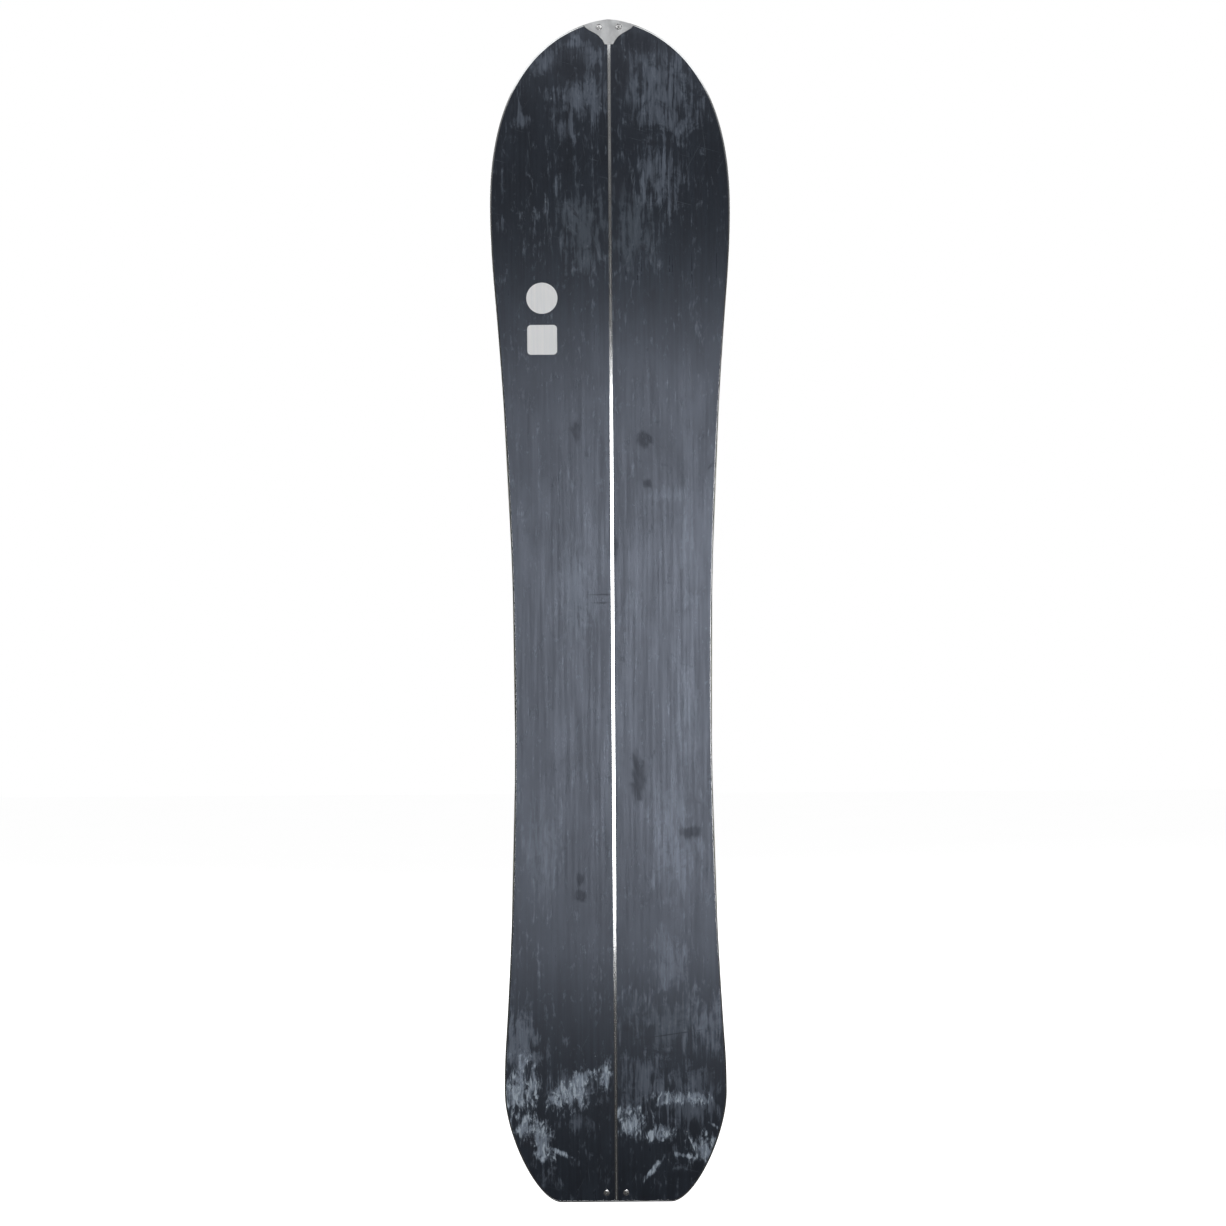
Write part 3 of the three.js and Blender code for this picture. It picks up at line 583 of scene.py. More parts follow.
# Worn places of each half's base: how far out and how far up they are, as percent of the
# half's base sheet, the radii across and along in millimetres, and the turn in degrees.
STRONG_SCUFFS = {
    "left": [
        (80, 9.6, 21, 34, 0), (77, 6.6, 17, 20, 0), (62, 5.4, 12, 26, -14), (50, 4.3, 16, 3.5, 27),
        (42, 8.9, 27, 17, 0), (28, 10.5, 20, 9, -30), (8, 10.6, 7, 20, 0),
    ],
    "right": [
        (15, 6.8, 18, 16, 0), (36, 5.8, 17, 10, 0), (75, 4.3, 17, 20, -30), (56, 8.8, 36, 9, 0),
        (83, 6.4, 9, 2, 30), (31, 2.6, 3, 19, 38), (59, 3.8, 11, 3, 10),
    ],
}
SOFT_SCUFFS = {
    "left": [
        (53, 97.2, 25, 12, -31), (29, 98.8, 20, 6, 0), (16, 97.6, 20, 14, 20), (22, 93.9, 40, 30, 0),
        (36, 91.5, 15, 17, 0), (73, 92.1, 12, 9, 0), (31, 6.8, 24, 11, 0), (25, 99.0, 14, 5, 40),
        (82, 13.5, 24, 44, 0), (36, 9.5, 34, 22, 0),
    ],
    "right": [
        (44, 94.5, 46, 66, 0), (58, 92.0, 10, 30, 0), (42, 87.5, 33, 36, 0), (24, 9.8, 40, 38, 0),
        (66, 9.3, 34, 32, 0), (53, 29.4, 30, 64, 0), (47, 20.0, 30, 38, 0), (80, 14.5, 26, 40, 0),
        (60, 8.0, 42, 24, 0),
    ],
}
FAINT_SCUFFS = {
    "left": [
        (30, 52.0, 30, 90, 0), (60, 30.0, 26, 80, 0), (80, 14.0, 24, 40, 0), (24, 82.5, 36, 60, 0),
    ],
    "right": [
        (47, 60.0, 28, 10, 0), (63, 56.5, 14, 48, 0), (16, 51.0, 10, 21, 10), (66, 51.0, 12, 11, 0),
        (63, 41.5, 17, 62, 0), (55, 34.0, 40, 40, 0), (50, 15.0, 64, 36, 0), (20, 83.0, 36, 64, 0),
    ],
}
DARK_MARKS = {
    "left": [
        (34, 96.9, 22, 22, 0), (30, 65.4, 6, 15, 0), (29, 27.5, 6, 9, 0), (29, 26.0, 8, 8, 0),
        (31, 84.2, 2, 9, -38), (10, 51.6, 16, 0.8, 0), (9, 50.9, 12, 0.8, 0), (74, 5.1, 12, 12, 20),
        (74, 87.0, 2.5, 4, 60),
    ],
    "right": [
        (28, 98.9, 42, 14, 8), (9, 96.5, 12, 32, 0), (8, 86.5, 10, 22, 0), (36, 90.1, 8, 4, 0),
        (50, 90.0, 5, 6, 0), (28, 64.7, 9, 11, 0), (30, 61.0, 5, 6, 0), (36, 77.0, 5, 11, 0),
        (28, 81.0, 6, 6, 0), (83, 62.4, 1.5, 8, 40), (3, 55.3, 3, 24, 0), (20, 36.0, 9, 30, 0),
        (22, 34.4, 5, 7, 0), (63, 31.4, 15, 8, 0), (9, 14.8, 5, 5, 0), (22, 14.8, 5, 6, 0),
        (46, 14.2, 42, 0.9, -8), (82, 11.0, 9, 20, 0),
    ],
}


def wear(look, side, marks, soft):
    """How near a point is to the middle of the nearest of a half's marks: 1 there, 0 outside."""
    low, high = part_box(f"{side}_base_sheet")
    width = max(abs(low.x), abs(high.x))
    field = None
    for across, up, radius_x, radius_z, turn in marks[side]:
        x = HALVES[side] * across / 100 * width
        z = low.z + up / 100 * (high.z - low.z)
        spot = look.patch(x, z, radius_x * MM, radius_z * MM, math.radians(turn), soft)
        field = spot if field is None else look.math("MAXIMUM", field, spot)
    return field


def torn(look, field, texture, contrast, loss):
    """A field broken up by a texture, so that its borders are ragged and it has gaps inside."""
    roughened = look.times(look.minus(texture, 0.5), contrast)
    return look.spread(look.plus(field, roughened), loss, loss + TEAR_SOFTNESS)


def worn_base(side):
    """Sintered base: dark, with a fine structure along the board, dry patches and scratches."""
    look = Look(f"worn_base_{side}")
    look.shade("Specular IOR Level", 0.6)
    look.shade("Specular Tint", (0.75, 0.825, 1.0, 1))
    seed = 3.7 if side == "left" else 8.9
    fine = look.noise((900, 40, 14), detail=3, offset=3.1)
    streaks = look.noise((230, 20, 7), detail=6, rough=0.62, offset=seed)
    bands = look.noise((62, 8, 3.4), detail=4, rough=0.6, warp=0.3, offset=seed + 1.3)
    clouds = look.noise((13, 8, 8), detail=8, rough=0.64, warp=0.7, offset=seed + 4.2)
    rag = look.noise((210, 20, 62), detail=8, rough=0.68, warp=0.6, offset=seed + 9.4)
    lumps = look.noise((48, 10, 30), detail=7, rough=0.66, warp=1.2, offset=seed + 2.9)
    brush = look.noise((190, 20, 20), detail=6, rough=0.62, warp=0.25, offset=seed + 6.6)

    tone = look.spread(look.weighted((streaks, 0.34), (bands, 0.26), (clouds, 0.40)), 0.38, 0.64)
    colour = look.mix(tone, (0.0055, 0.0075, 0.0112), (0.021, 0.027, 0.037))

    ragged = look.weighted((rag, 0.55), (lumps, 0.45))
    brushed = look.weighted((brush, 0.6), (lumps, 0.4))
    faint = torn(look, wear(look, side, FAINT_SCUFFS, 1.0), brushed, 6.0, 0.38)
    soft = torn(look, wear(look, side, SOFT_SCUFFS, 1.0), brushed, 6.0, 0.33)
    rubbed = wear(look, side, STRONG_SCUFFS, 1.0)
    strong = torn(look, rubbed, ragged, 6.5, 0.24)
    strong = look.times(strong, look.spread(rubbed, 0.0, 0.2, 0.35, 1.0))
    dark = torn(look, wear(look, side, DARK_MARKS, 0.8), lumps, 3.0, 0.15)
    depth = look.spread(streaks, 0.36, 0.66, 0.55, 1.0)
    colour = look.mix(look.times(faint, 0.25), colour, (0.20, 0.24, 0.29))
    soft = look.times(look.times(soft, depth), 0.62)
    colour = look.mix(soft, colour, (0.165, 0.194, 0.244))
    colour = look.mix(look.times(dark, 0.7), colour, (0.004, 0.005, 0.008))
    rubbed = look.times(look.times(strong, depth), 0.92)
    colour = look.mix(rubbed, colour, (0.27, 0.32, 0.39))
    crest = look.times(look.spread(strong, 0.65, 1.0), look.spread(rag, 0.49, 0.62))
    colour = look.mix(look.times(crest, 0.85), colour, (0.47, 0.54, 0.61))

    nick_noise = look.noise((72, 10, 50), detail=3, rough=0.6, offset=seed + 5.5)
    nicks = look.spread(nick_noise, 0.71, 0.75)
    colour = look.mix(look.times(nicks, 0.8), colour, (0.006, 0.008, 0.011))
    speck_noise = look.noise((420, 60, 330), detail=1, offset=seed + 8.1)
    specks = look.times(look.spread(speck_noise, 0.79, 0.82), look.spread(lumps, 0.50, 0.62))
    colour = look.mix(specks, colour, (0.42, 0.45, 0.48))

    scratches = None
    for offset, turn in ((2.2, 0.12), (6.1, -0.5), (9.9, 1.3)):
        dashes = look.noise((1300, 20, 17), detail=1, offset=seed + offset, turn=turn)
        line = look.spread(dashes, 0.76, 0.80)
        scratches = line if scratches is None else look.math("MAXIMUM", scratches, line)
    colour = look.mix(look.times(scratches, 0.35), colour, (0.15, 0.18, 0.21))

    dull = look.plus(look.spread(tone, 0.0, 1.0, 0.325, 0.285), look.times(strong, 0.15))
    dull = look.plus(dull, look.times(dark, 0.09))
    dull = look.minus(dull, look.spread(streaks, 0.36, 0.64, -0.014, 0.014))
    height = look.weighted((fine, 0.6), (streaks, 0.4))
    height = look.minus(height, look.times(scratches, 1.5))
    height = look.minus(height, look.times(nicks, 2.0))
    look.relief(height, 0.03 * MM)
    return look.finish(colour, dull)


def ground_steel():
    """Steel edge: ground along its length, with faint stains and a few specks of rust."""
    look = Look("ground_steel", metallic=1.0)
    grain = look.noise((3000, 3000, 30), detail=3, offset=1.7)
    stain = look.noise((60, 60, 26), detail=5, rough=0.65, warp=0.5, offset=5.9)
    colour = look.mix(look.spread(stain, 0.35, 0.7), (0.56, 0.57, 0.58), (0.41, 0.42, 0.43))
    rust = look.spread(look.noise((240, 240, 60), detail=4, rough=0.7, offset=3.3), 0.70, 0.76)
    colour = look.mix(look.times(rust, 0.7), colour, (0.20, 0.085, 0.035))
    dull = look.plus(look.spread(grain, 0.3, 0.7, 0.09, 0.145), look.times(rust, 0.35))
    look.relief(grain, 0.004 * MM, 0.5)
    return look.finish(colour, dull)


def satin_plate():
    """Nose plate: satin light alloy with fine lines along the board and small scratches."""
    look = Look("satin_end_plate", metallic=1.0)
    lines = look.noise((1500, 300, 60), detail=3, offset=2.2)
    haze = look.noise((90, 60, 70), detail=5, rough=0.6, offset=6.6)
    colour = look.mix(look.spread(haze, 0.3, 0.7), (0.70, 0.71, 0.72), (0.60, 0.61, 0.62))
    field = look.noise((90, 40, 90), detail=2, offset=4.4, turn=0.6)
    scratch = look.spread(look.math("ABSOLUTE", look.minus(field, 0.5)), 0.006, 0.001)
    colour = look.mix(look.times(scratch, 0.25), colour, (0.45, 0.46, 0.47))
    look.relief(look.minus(lines, scratch), 0.012 * MM)
    return look.finish(colour, look.spread(haze, 0.3, 0.7, 0.42, 0.54))


def sidewall_plastic():
    """Sidewall: black plastic, planed along the board."""
    look = Look("planed_sidewall")
    lines = look.noise((1200, 1200, 12), detail=3, offset=8.8)
    cloud = look.noise((30, 30, 18), detail=5, offset=3.7)
    colour = look.mix(look.spread(cloud, 0.3, 0.7), (0.016, 0.017, 0.019), (0.032, 0.034, 0.037))
    look.relief(lines, 0.03 * MM)
    return look.finish(colour, look.spread(cloud, 0.3, 0.7, 0.42, 0.6))


def satin_topsheet():
    """Topsheet: dark satin plastic with a pebbled grain, fingerprints and rubbed places."""
    look = Look("satin_topsheet")
    pebble = look.noise((1600, 1600, 1600), detail=2, offset=1.1)
    weave = look.noise((420, 100, 24), detail=3, offset=5.2)
    cloud = look.noise((11, 8, 7), detail=6, rough=0.6, warp=0.6, offset=6.3)
    colour = look.mix(look.spread(cloud, 0.3, 0.72), (0.052, 0.070, 0.088), (0.074, 0.096, 0.118))
    dashes = look.noise((1300, 20, 13), detail=1, offset=2.5, turn=0.4)
    colour = look.mix(look.spread(dashes, 0.77, 0.81, 0, 0.5), colour, (0.26, 0.29, 0.31))
    height = look.plus(pebble, look.times(weave, 0.5))
    look.relief(height, 0.03 * MM)
    return look.finish(colour, look.spread(cloud, 0.3, 0.72, 0.30, 0.42))


def glass_laminate():
    """Glass fibre in resin: fine bundles that cross at right angles."""
    look = Look("glass_laminate")
    bundles = []
    for turn in (math.pi / 4, -math.pi / 4):
        bundles.append(look.noise((900, 900, 40), detail=3, offset=turn + 3, turn=turn))
    weave = look.math("MAXIMUM", bundles[0], bundles[1])
    colour = look.mix(look.spread(weave, 0.45, 0.75), (0.30, 0.30, 0.20), (0.56, 0.56, 0.42))
    look.relief(weave, 0.05 * MM)
    return look.finish(colour, 0.35)


def laminated_wood():
    """Wood core: strips side by side, each with its own tone."""
    look = Look("laminated_wood")
    apart = look.add("ShaderNodeSeparateXYZ", {"Vector": look.place})
    strip = look.math("FLOOR", look.times(apart.outputs["X"], 1 / WOOD_STRIP))
    tone = look.add("ShaderNodeTexWhiteNoise", {"W": strip}, noise_dimensions="1D")
    grain = look.noise((500, 500, 6), detail=6, rough=0.6, warp=0.6, offset=2.6)
    wood = look.mix(look.spread(grain, 0.3, 0.7), (0.34, 0.20, 0.09), (0.62, 0.44, 0.25))
    colour = look.mix(look.times(tone.outputs["Value"], 0.45), wood, (0.66, 0.52, 0.33))
    look.relief(grain, 0.05 * MM)
    return look.finish(colour, 0.7)


def machined_steel(name, tint, low, high):
    """Stainless steel with a fine uneven grain."""
    look = Look(name, metallic=1.0)
    grain = look.noise((1800, 1800, 1800), detail=3, offset=4.9)
    haze = look.noise((160, 160, 160), detail=5, rough=0.6, offset=7.3)
    darker = tuple(0.72 * channel for channel in tint)
    colour = look.mix(look.spread(haze, 0.35, 0.7), tint, darker)
    look.relief(grain, 0.008 * MM)
    return look.finish(colour, look.spread(haze, 0.3, 0.7, low, high))


def brushed_metal():
    """Clip and hook arms: rolled steel, brushed across the arm and polished by use."""
    look = Look("brushed_clip_metal", metallic=1.0)
    lines = look.noise((120, 900, 4200), detail=3, offset=6.2)
    haze = look.noise((120, 120, 120), detail=5, rough=0.6, offset=1.9)
    colour = look.mix(look.spread(haze, 0.3, 0.7), (0.56, 0.57, 0.58), (0.42, 0.43, 0.45))
    look.relief(lines, 0.004 * MM)
    return look.finish(colour, look.spread(lines, 0.3, 0.7, 0.26, 0.34))


def coated_steel():
    """Hook plates: black coated steel with a fine orange peel and rubbed spots."""
    look = Look("black_coated_steel")
    peel = look.noise((900, 900, 900), detail=2, offset=3.5)
    rub = look.noise((260, 260, 260), detail=6, rough=0.7, offset=8.4)
    colour = look.mix(look.spread(rub, 0.62, 0.74), (0.014, 0.015, 0.017), (0.10, 0.10, 0.105))
    look.relief(peel, 0.03 * MM)
    return look.finish(colour, look.spread(rub, 0.4, 0.7, 0.34, 0.5))


def nylon():
    """Washers: black plastic with a fine grain."""
    look = Look("black_nylon")
    grain = look.noise((1500, 1500, 1500), detail=3, offset=5.1)
    colour = look.mix(look.spread(grain, 0.3, 0.7), (0.018, 0.018, 0.020), (0.030, 0.030, 0.032))
    look.relief(grain, 0.02 * MM)
    return look.finish(colour, look.spread(grain, 0.3, 0.7, 0.48, 0.62))


def white_inlay():
    """Plain white base material, with faint wear along the board."""
    look = Look("white_inlay")
    streaks = look.noise((260, 20, 8), detail=5, rough=0.6, offset=2.7)
    colour = look.mix(look.spread(streaks, 0.3, 0.7), (0.88, 0.90, 0.92), (0.98, 0.98, 0.98))
    look.relief(streaks, 0.02 * MM)
    return look.finish(colour, 0.5)


LOOKS = {
    "left_base": worn_base("left"),
    "right_base": worn_base("right"),
    "steel": ground_steel(),
    "plate": satin_plate(),
    "sidewall": sidewall_plastic(),
    "topsheet": satin_topsheet(),
    "laminate": glass_laminate(),
    "wood": laminated_wood(),
    "screw": machined_steel("machined_screw", (0.66, 0.66, 0.66), 0.18, 0.30),
    "insert": machined_steel("turned_insert", (0.60, 0.58, 0.52), 0.26, 0.40),
    "stud": machined_steel("turned_stud", (0.58, 0.59, 0.61), 0.20, 0.32),
    "clip": brushed_metal(),
    "coated": coated_steel(),
    "nylon": nylon(),
    "inlay": white_inlay(),
}


# ---- the layers of the board ----

def square_to_board(x, z, depth):
    """A frame whose Y points into the board at a place on its snow side."""
    turn = Matrix.Rotation(-lean(z), 4, "X")
    return Matrix.Translation(bend(x, z, depth)) @ turn


def screw_hole(end):
    """The countersunk hole for an end screw. Its tool starts in front of the base."""
    mouth = END_SCREW_HEAD_RADIUS + FIT
    shank = END_SCREW_RADIUS + FIT
    start, cone_start, cone_end, foot = -1 * MM, 0.4 * MM, 2.6 * MM, 4 * MM
    profile = [(0, start), (mouth, start), (mouth, cone_start), (shank, cone_end), (shank, foot), (0, foot)]
    return moved(turned(profile), square_to_board(END_SCREW_X, SCREW_PLACES[end], 0))


def plate_flank(grow):
    """The plate's lower border, from its outer corner to the end of its stem, moved out."""
    control = [
        PLATE_CORNER + Vector((grow, 0)),
        Vector((grow, TIP_Z - grow)) + PLATE_UPPER_PULL,
        Vector((grow, TIP_Z - grow)) + PLATE_LOWER_PULL,
        Vector((PLATE_STEM_HALF_WIDTH + grow, TIP_Z - PLATE_LENGTH)),
    ]
    return along(control, 0, 1, 32)


def screw_place(end):
    """How far along the board an end screw sits, from the depth of its node."""
    low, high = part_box(f"right_{end}_screw")
    middle = (low + high) / 2
    z = middle.z
    for _ in range(4):
        z = middle.z + (middle.y - rise(z)) * math.tan(lean(z))
    return z


SCREW_PLACES = {"nose": screw_place("nose"), "tail": screw_place("tail")}


def nose_plate():
    path = [*along(NOSE_CURVE, 0, PLATE_CORNER_T, 24), *plate_flank(0)]
    return layer(path, SEAM, at_depth(0), at_depth(BASE_THICKNESS))


def base_sheet():
    """The base between the steel edges, cut back round the nose plate."""
    path = inset(EDGE_WIDTH + HAIRLINE)
    flank = [here for here in plate_flank(FIT) if across_at(path, here.y) > here.x + FIT]
    beside = [Vector((across_at(path, here.y), here.y)) for here in flank]
    below_z = TIP_Z - PLATE_LENGTH - FIT
    step = Vector((across_at(path, below_z), below_z))
    rest = [step] + [here for here in path if here.y < below_z - FIT]
    seam_x = SEAM + EDGE_WIDTH + HAIRLINE
    inner = flank + [Vector((seam_x, here.y)) for here in rest]
    return ribbon(beside + rest, inner, at_depth(0), at_depth(BASE_THICKNESS))


def outer_edge():
    start = next(i for i, here in enumerate(CONTOUR) if here.x >= PLATE_CORNER.x)
    outer = CONTOUR[start:] + [Vector((SEAM, TAIL_Z))]
    inner = inset(EDGE_WIDTH)[start:] + [Vector((SEAM, TAIL_Z + EDGE_WIDTH))]
    return ribbon(outer, inner, at_depth(0), at_depth(EDGE_HEIGHT), BASE_BEVEL)


def inner_edge():
    top = TIP_Z - PLATE_LENGTH - FIT
    bottom = TAIL_Z + EDGE_WIDTH + HAIRLINE
    return seam_bar(SEAM, SEAM + EDGE_WIDTH, top, bottom, at_depth(0), at_depth(EDGE_HEIGHT))


def outer_sidewall():
    contour = [here for here in CONTOUR if here.x > SEAM]
    path = inset(OUTER_SIDEWALL_WIDTH)[-len(contour):]
    outer = [Vector((SEAM, contour[0].y)), *contour, Vector((SEAM, TAIL_Z))]
    inner = [Vector((SEAM, path[0].y)), *path, Vector((SEAM, path[-1].y))]
    return ribbon(outer, inner, at_depth(EDGE_HEIGHT + HAIRLINE), sidewall_top)


def inner_sidewall():
    top = TIP_Z - OUTER_SIDEWALL_WIDTH - FIT
    bottom = TAIL_Z + OUTER_SIDEWALL_WIDTH + HAIRLINE
    low = at_depth(EDGE_HEIGHT + HAIRLINE)
    return seam_bar(SEAM, SEAM + INNER_SIDEWALL_WIDTH, top, bottom, low, sidewall_top)


def topsheet():
    return layer(CONTOUR, SEAM, lambda z: laminate_top(z) + HAIRLINE, sheet_top)


INSERT_GROUPS = ("front", "touring", "rear")


def insert_places(group):
    """The places of a group of inserts, from the box of its strip."""
    low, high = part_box(f"right_{group}_insert_strip")
    left, right = low.x + STRIP_MARGIN, high.x - STRIP_MARGIN
    bottom, top = low.z + STRIP_MARGIN, high.z - STRIP_MARGIN
    if group == "touring":
        return [(left, bottom), (right, bottom), ((left + right) / 2, top)]
    return [(x, z) for x in (left, right) for z in (bottom, top)]


def hook_screw_places():
    places = []
    for joint in ("front_hook_swing", "rear_hook_swing"):
        middle = seat(joint, HOOK_ARM_LOW + HOOK_ARM_THICKNESS / 2).translation.z
        places += [(HOOK_SCREW_X, middle - HOOK_SCREW_Z), (HOOK_SCREW_X, middle + HOOK_SCREW_Z)]
    return places


def seat(joint_name, arm_height):
    """The frame of a clip or hook on the topsheet: its middle on the seam, Y out of the board."""
    joint = next(j for j in frame["joints"] if j["name"] == joint_name)
    normal = Vector(joint["axis"])
    if normal.y < 0:
        normal = -normal
    origin = Vector(joint["pos_m"]) - normal * arm_height
    across = Vector((1, 0, 0))
    turn = Matrix((across, normal, across.cross(normal))).transposed().to_4x4()
    return Matrix.Translation((0, origin.y, origin.z)) @ turn


def straight_hole(x, z, radius):
    """The tool for a round hole through the topsheet."""
    low, high = sheet_top(z) - 1 * MM, 12 * MM
    profile = [(0, low), (radius, low), (radius, high), (0, high)]
    return moved(turned(profile, 48), square_to_board(x, z, 0))


def top_holes():
    inserts = [place for group in INSERT_GROUPS for place in insert_places(group)]
    holes = [straight_hole(x, z, INSERT_RADIUS + 2 * HAIRLINE) for x, z in inserts]
    holes += [straight_hole(x, z, HOOK_SCREW_RADIUS + FIT) for x, z in hook_screw_places()]
    holes += [straight_hole(END_SCREW_X, z, BUSH_RADIUS + FIT) for z in SCREW_PLACES.values()]
    return merged(holes)


def board_layers(side):
    body = f"{side}_half"

    def place(name, bm, look, slot, bevel, holes=None):
        piece = solid(f"{side}_{name}_detail", on_half(bm, side))
        soften(piece, bevel)
        if holes:
            combine(piece, on_half(holes, side), "DIFFERENCE")
        return dress(piece, LOOKS[look], body, slot, f"{side}_{name}")

    place("base_sheet", base_sheet(), f"{side}_base", "base", 0.08 * MM, screw_hole("tail"))
    place("nose_plate", nose_plate(), "plate", "end_plate", 0.2 * MM, screw_hole("nose"))
    place("outer_edge", outer_edge(), "steel", "steel_edge", 0.12 * MM)
    place("inner_edge", inner_edge(), "steel", "steel_edge", 0.12 * MM)
    place("outer_sidewall", outer_sidewall(), "sidewall", "sidewall", 0.15 * MM)
    place("inner_sidewall", inner_sidewall(), "sidewall", "sidewall", 0.15 * MM)
    place("topsheet", topsheet(), "topsheet", "topsheet", 0.2 * MM, top_holes())
    for group in INSERT_GROUPS:
        place(f"{group}_insert_strip", insert_strip(group), "insert", "insert", 0.1 * MM)


def threaded_barrel(z):
    """An insert's barrel, its bore cut with a thread."""
    top = sheet_top(z) - 2 * HAIRLINE
    foot = CORE_LOW + STRIP_THICKNESS / 2
    chamfer = 0.5 * MM
    thread_depth = 0.35 * MM
    thread_end = foot + 1.6 * MM
    bore_end = foot + 1 * MM
    profile = [(0, foot), (INSERT_RADIUS, foot), (INSERT_RADIUS, top), (INSERT_BORE_RADIUS + chamfer, top)]
    height = top - chamfer
    while height > thread_end:
        profile.append((INSERT_BORE_RADIUS, height))
        profile.append((INSERT_BORE_RADIUS + thread_depth, height - INSERT_PITCH / 2))
        height -= INSERT_PITCH
    profile += [(INSERT_BORE_RADIUS, height), (INSERT_BORE_RADIUS, bore_end), (0, bore_end)]
    return turned(profile)


def insert_strip(group):
    """A thin strip under the inserts, with their barrels."""
    low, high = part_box(f"right_{group}_insert_strip")
    corners = [(low.x, low.z), (high.x, low.z), (high.x, high.z), (low.x, high.z)]
    parts = [extruded([[Vector(corner) for corner in corners]], CORE_LOW, CORE_LOW + STRIP_THICKNESS)]
    for x, z in insert_places(group):
        parts.append(moved(threaded_barrel(z), Matrix.Translation((x, 0, z))))
    return merged(parts)


# ---- fasteners ----

def cross_recess(reach, width, depth, taper):
    """The tool that cuts a cross recess. The taper is its width at the foot, as a share."""
    loop = []
    for quarter in range(4):
        turn = Matrix.Rotation(quarter * math.pi / 2, 2)
        for corner in ((reach, -width), (reach, width), (width, width)):
            loop.append(turn @ Vector(corner))
    bm = extruded([loop], 0, depth)
    for vert in bm.verts:
        if vert.co.y > depth / 2:
            vert.co.x *= taper
            vert.co.z *= taper
    return bm


def end_screw(end):
    """A countersunk screw with a slightly domed head; its height runs into the board."""
    z = SCREW_PLACES[end]
    rim = 0.5 * MM
    crown = 0.02 * MM
    dome = [
        (END_SCREW_HEAD_RADIUS * math.sin(a), rim - (rim - crown) * math.cos(a))
        for a in quarter_turn(10)
    ]
    length = sheet_top(z) + 1.5 * MM
    shank = [
        (END_SCREW_HEAD_RADIUS, rim + 0.15 * MM),
        (END_SCREW_RADIUS, COUNTERSINK_DEPTH + 0.3 * MM),
        (END_SCREW_RADIUS, length),
        (0, length),
    ]
    screw = solid("screw", turned([(0, crown), *dome[1:], *shank]))
    recess = cross_recess(reach=2.3 * MM, width=0.42 * MM, depth=1.7 * MM, taper=0.55)
    return combine(screw, moved(recess, Matrix.Translation((0, -0.3 * MM, 0))), "DIFFERENCE")


def fasten(name, screw, side, place):
    """Puts a copy of a screw in its place on one half."""
    piece = linked(f"{side}_{name}_detail", screw.data.copy())
    piece.data.transform(place)
    dress(piece, LOOKS["screw"], f"{side}_half", "fastener", f"{side}_{name}")


def end_screws():
    for end, z in SCREW_PLACES.items():
        model = end_screw(end)
        for side, sign in HALVES.items():
            turn = Matrix.Rotation(sign * 0.6, 4, "Y")
            fasten(f"{end}_screw", model, side, square_to_board(sign * END_SCREW_X, z, 0) @ turn)
        bpy.data.objects.remove(model)


def pan_screw():
    """A pan head screw with a hexagon socket."""
    low = HOOK_PLATE_LOW + HOOK_PLATE_THICKNESS + HAIRLINE
    height = 2.1 * MM
    rim = 0.5 * MM
    foot = -4 * MM
    head = [
        (HOOK_SCREW_HEAD_RADIUS * math.cos(a), low + rim + (height - rim) * math.sin(a))
        for a in quarter_turn(12)[:-1]
    ]
    profile = [
        (0, foot),
        (HOOK_SCREW_RADIUS, foot),
        (HOOK_SCREW_RADIUS, low),
        (HOOK_SCREW_HEAD_RADIUS, low),
        *head,
        (0, low + height),
    ]
    socket = extruded([circle(Vector((0, 0)), 1.5 * MM, 6)], 0, 3 * MM)
    moved(socket, Matrix.Translation((0, low + height - 1.4 * MM, 0)))
    return combine(solid("screw", turned(profile)), socket, "DIFFERENCE")


# ---- clips and hooks ----

def dome(shoulder, low, radius, height):
    """The head of a stud: a rim with a round shoulder, a little hollow in the middle."""
    rim = 0.5 * height
    curve = [
        (radius - height * 0.9 * (1 - math.cos(a)), low + rim + (height - rim) * math.sin(a))
        for a in quarter_turn(8)
    ]
    face = [(radius * 0.45, low + height), (0, low + height - 0.2 * MM)]
    return [(shoulder, low), (radius, low), *curve, *face]


def arm_outline(reach, half_width, stud_radius):
    """The outline of an arm from its pivot to its hook, and the outline of its pivot hole.
    The walls of the mouth are arcs about the pivot."""
    centre = Vector((0, 0))
    post = Vector((reach, 0))
    mouth = stud_radius + RUNNING_GAP
    back = mouth + HOOK_WALL
    side_angle = math.asin(half_width / (reach - mouth))
    lip_radius = (back - mouth) / 2
    lip = (reach + mouth + lip_radius) * Vector((math.cos(LIP_ANGLE), math.sin(LIP_ANGLE)))
    loop = [
        *arc(centre, half_width, math.pi / 2, 1.5 * math.pi, 28),
        *arc(post, back, -math.pi / 2, 0, 20),
        *arc(centre, reach + back, 0, LIP_ANGLE, 6)[1:],
        *arc(lip, lip_radius, LIP_ANGLE, LIP_ANGLE + math.pi, 14)[1:],
        *arc(centre, reach + mouth, LIP_ANGLE, 0, 6)[1:],
        *arc(post, mouth, 0, -math.pi, 32)[1:],
        *arc(centre, reach - mouth, 0, side_angle, 8)[1:],
    ]
    return [loop, circle(centre, stud_radius + FIT)]


def parked(pivot_x, points_up):
    """The turn that parks an arm beside the seam, its mouth towards the right half."""
    along_z = 1 if points_up else -1
    columns = (Vector((0, 0, along_z)), Vector((0, 1, 0)), Vector((1, 0, 0)))
    return Matrix.Translation((pivot_x, 0, 0)) @ Matrix(columns).transposed().to_4x4()


def build(node, bm, matrix, look, body, slot, bevel):
    """A softened piece placed by a matrix, standing for one CAD node."""
    piece = solid(f"{node}_detail", moved(bm, matrix))
    soften(piece, bevel, 3)
    return dress(piece, LOOKS[look], body, slot, node)


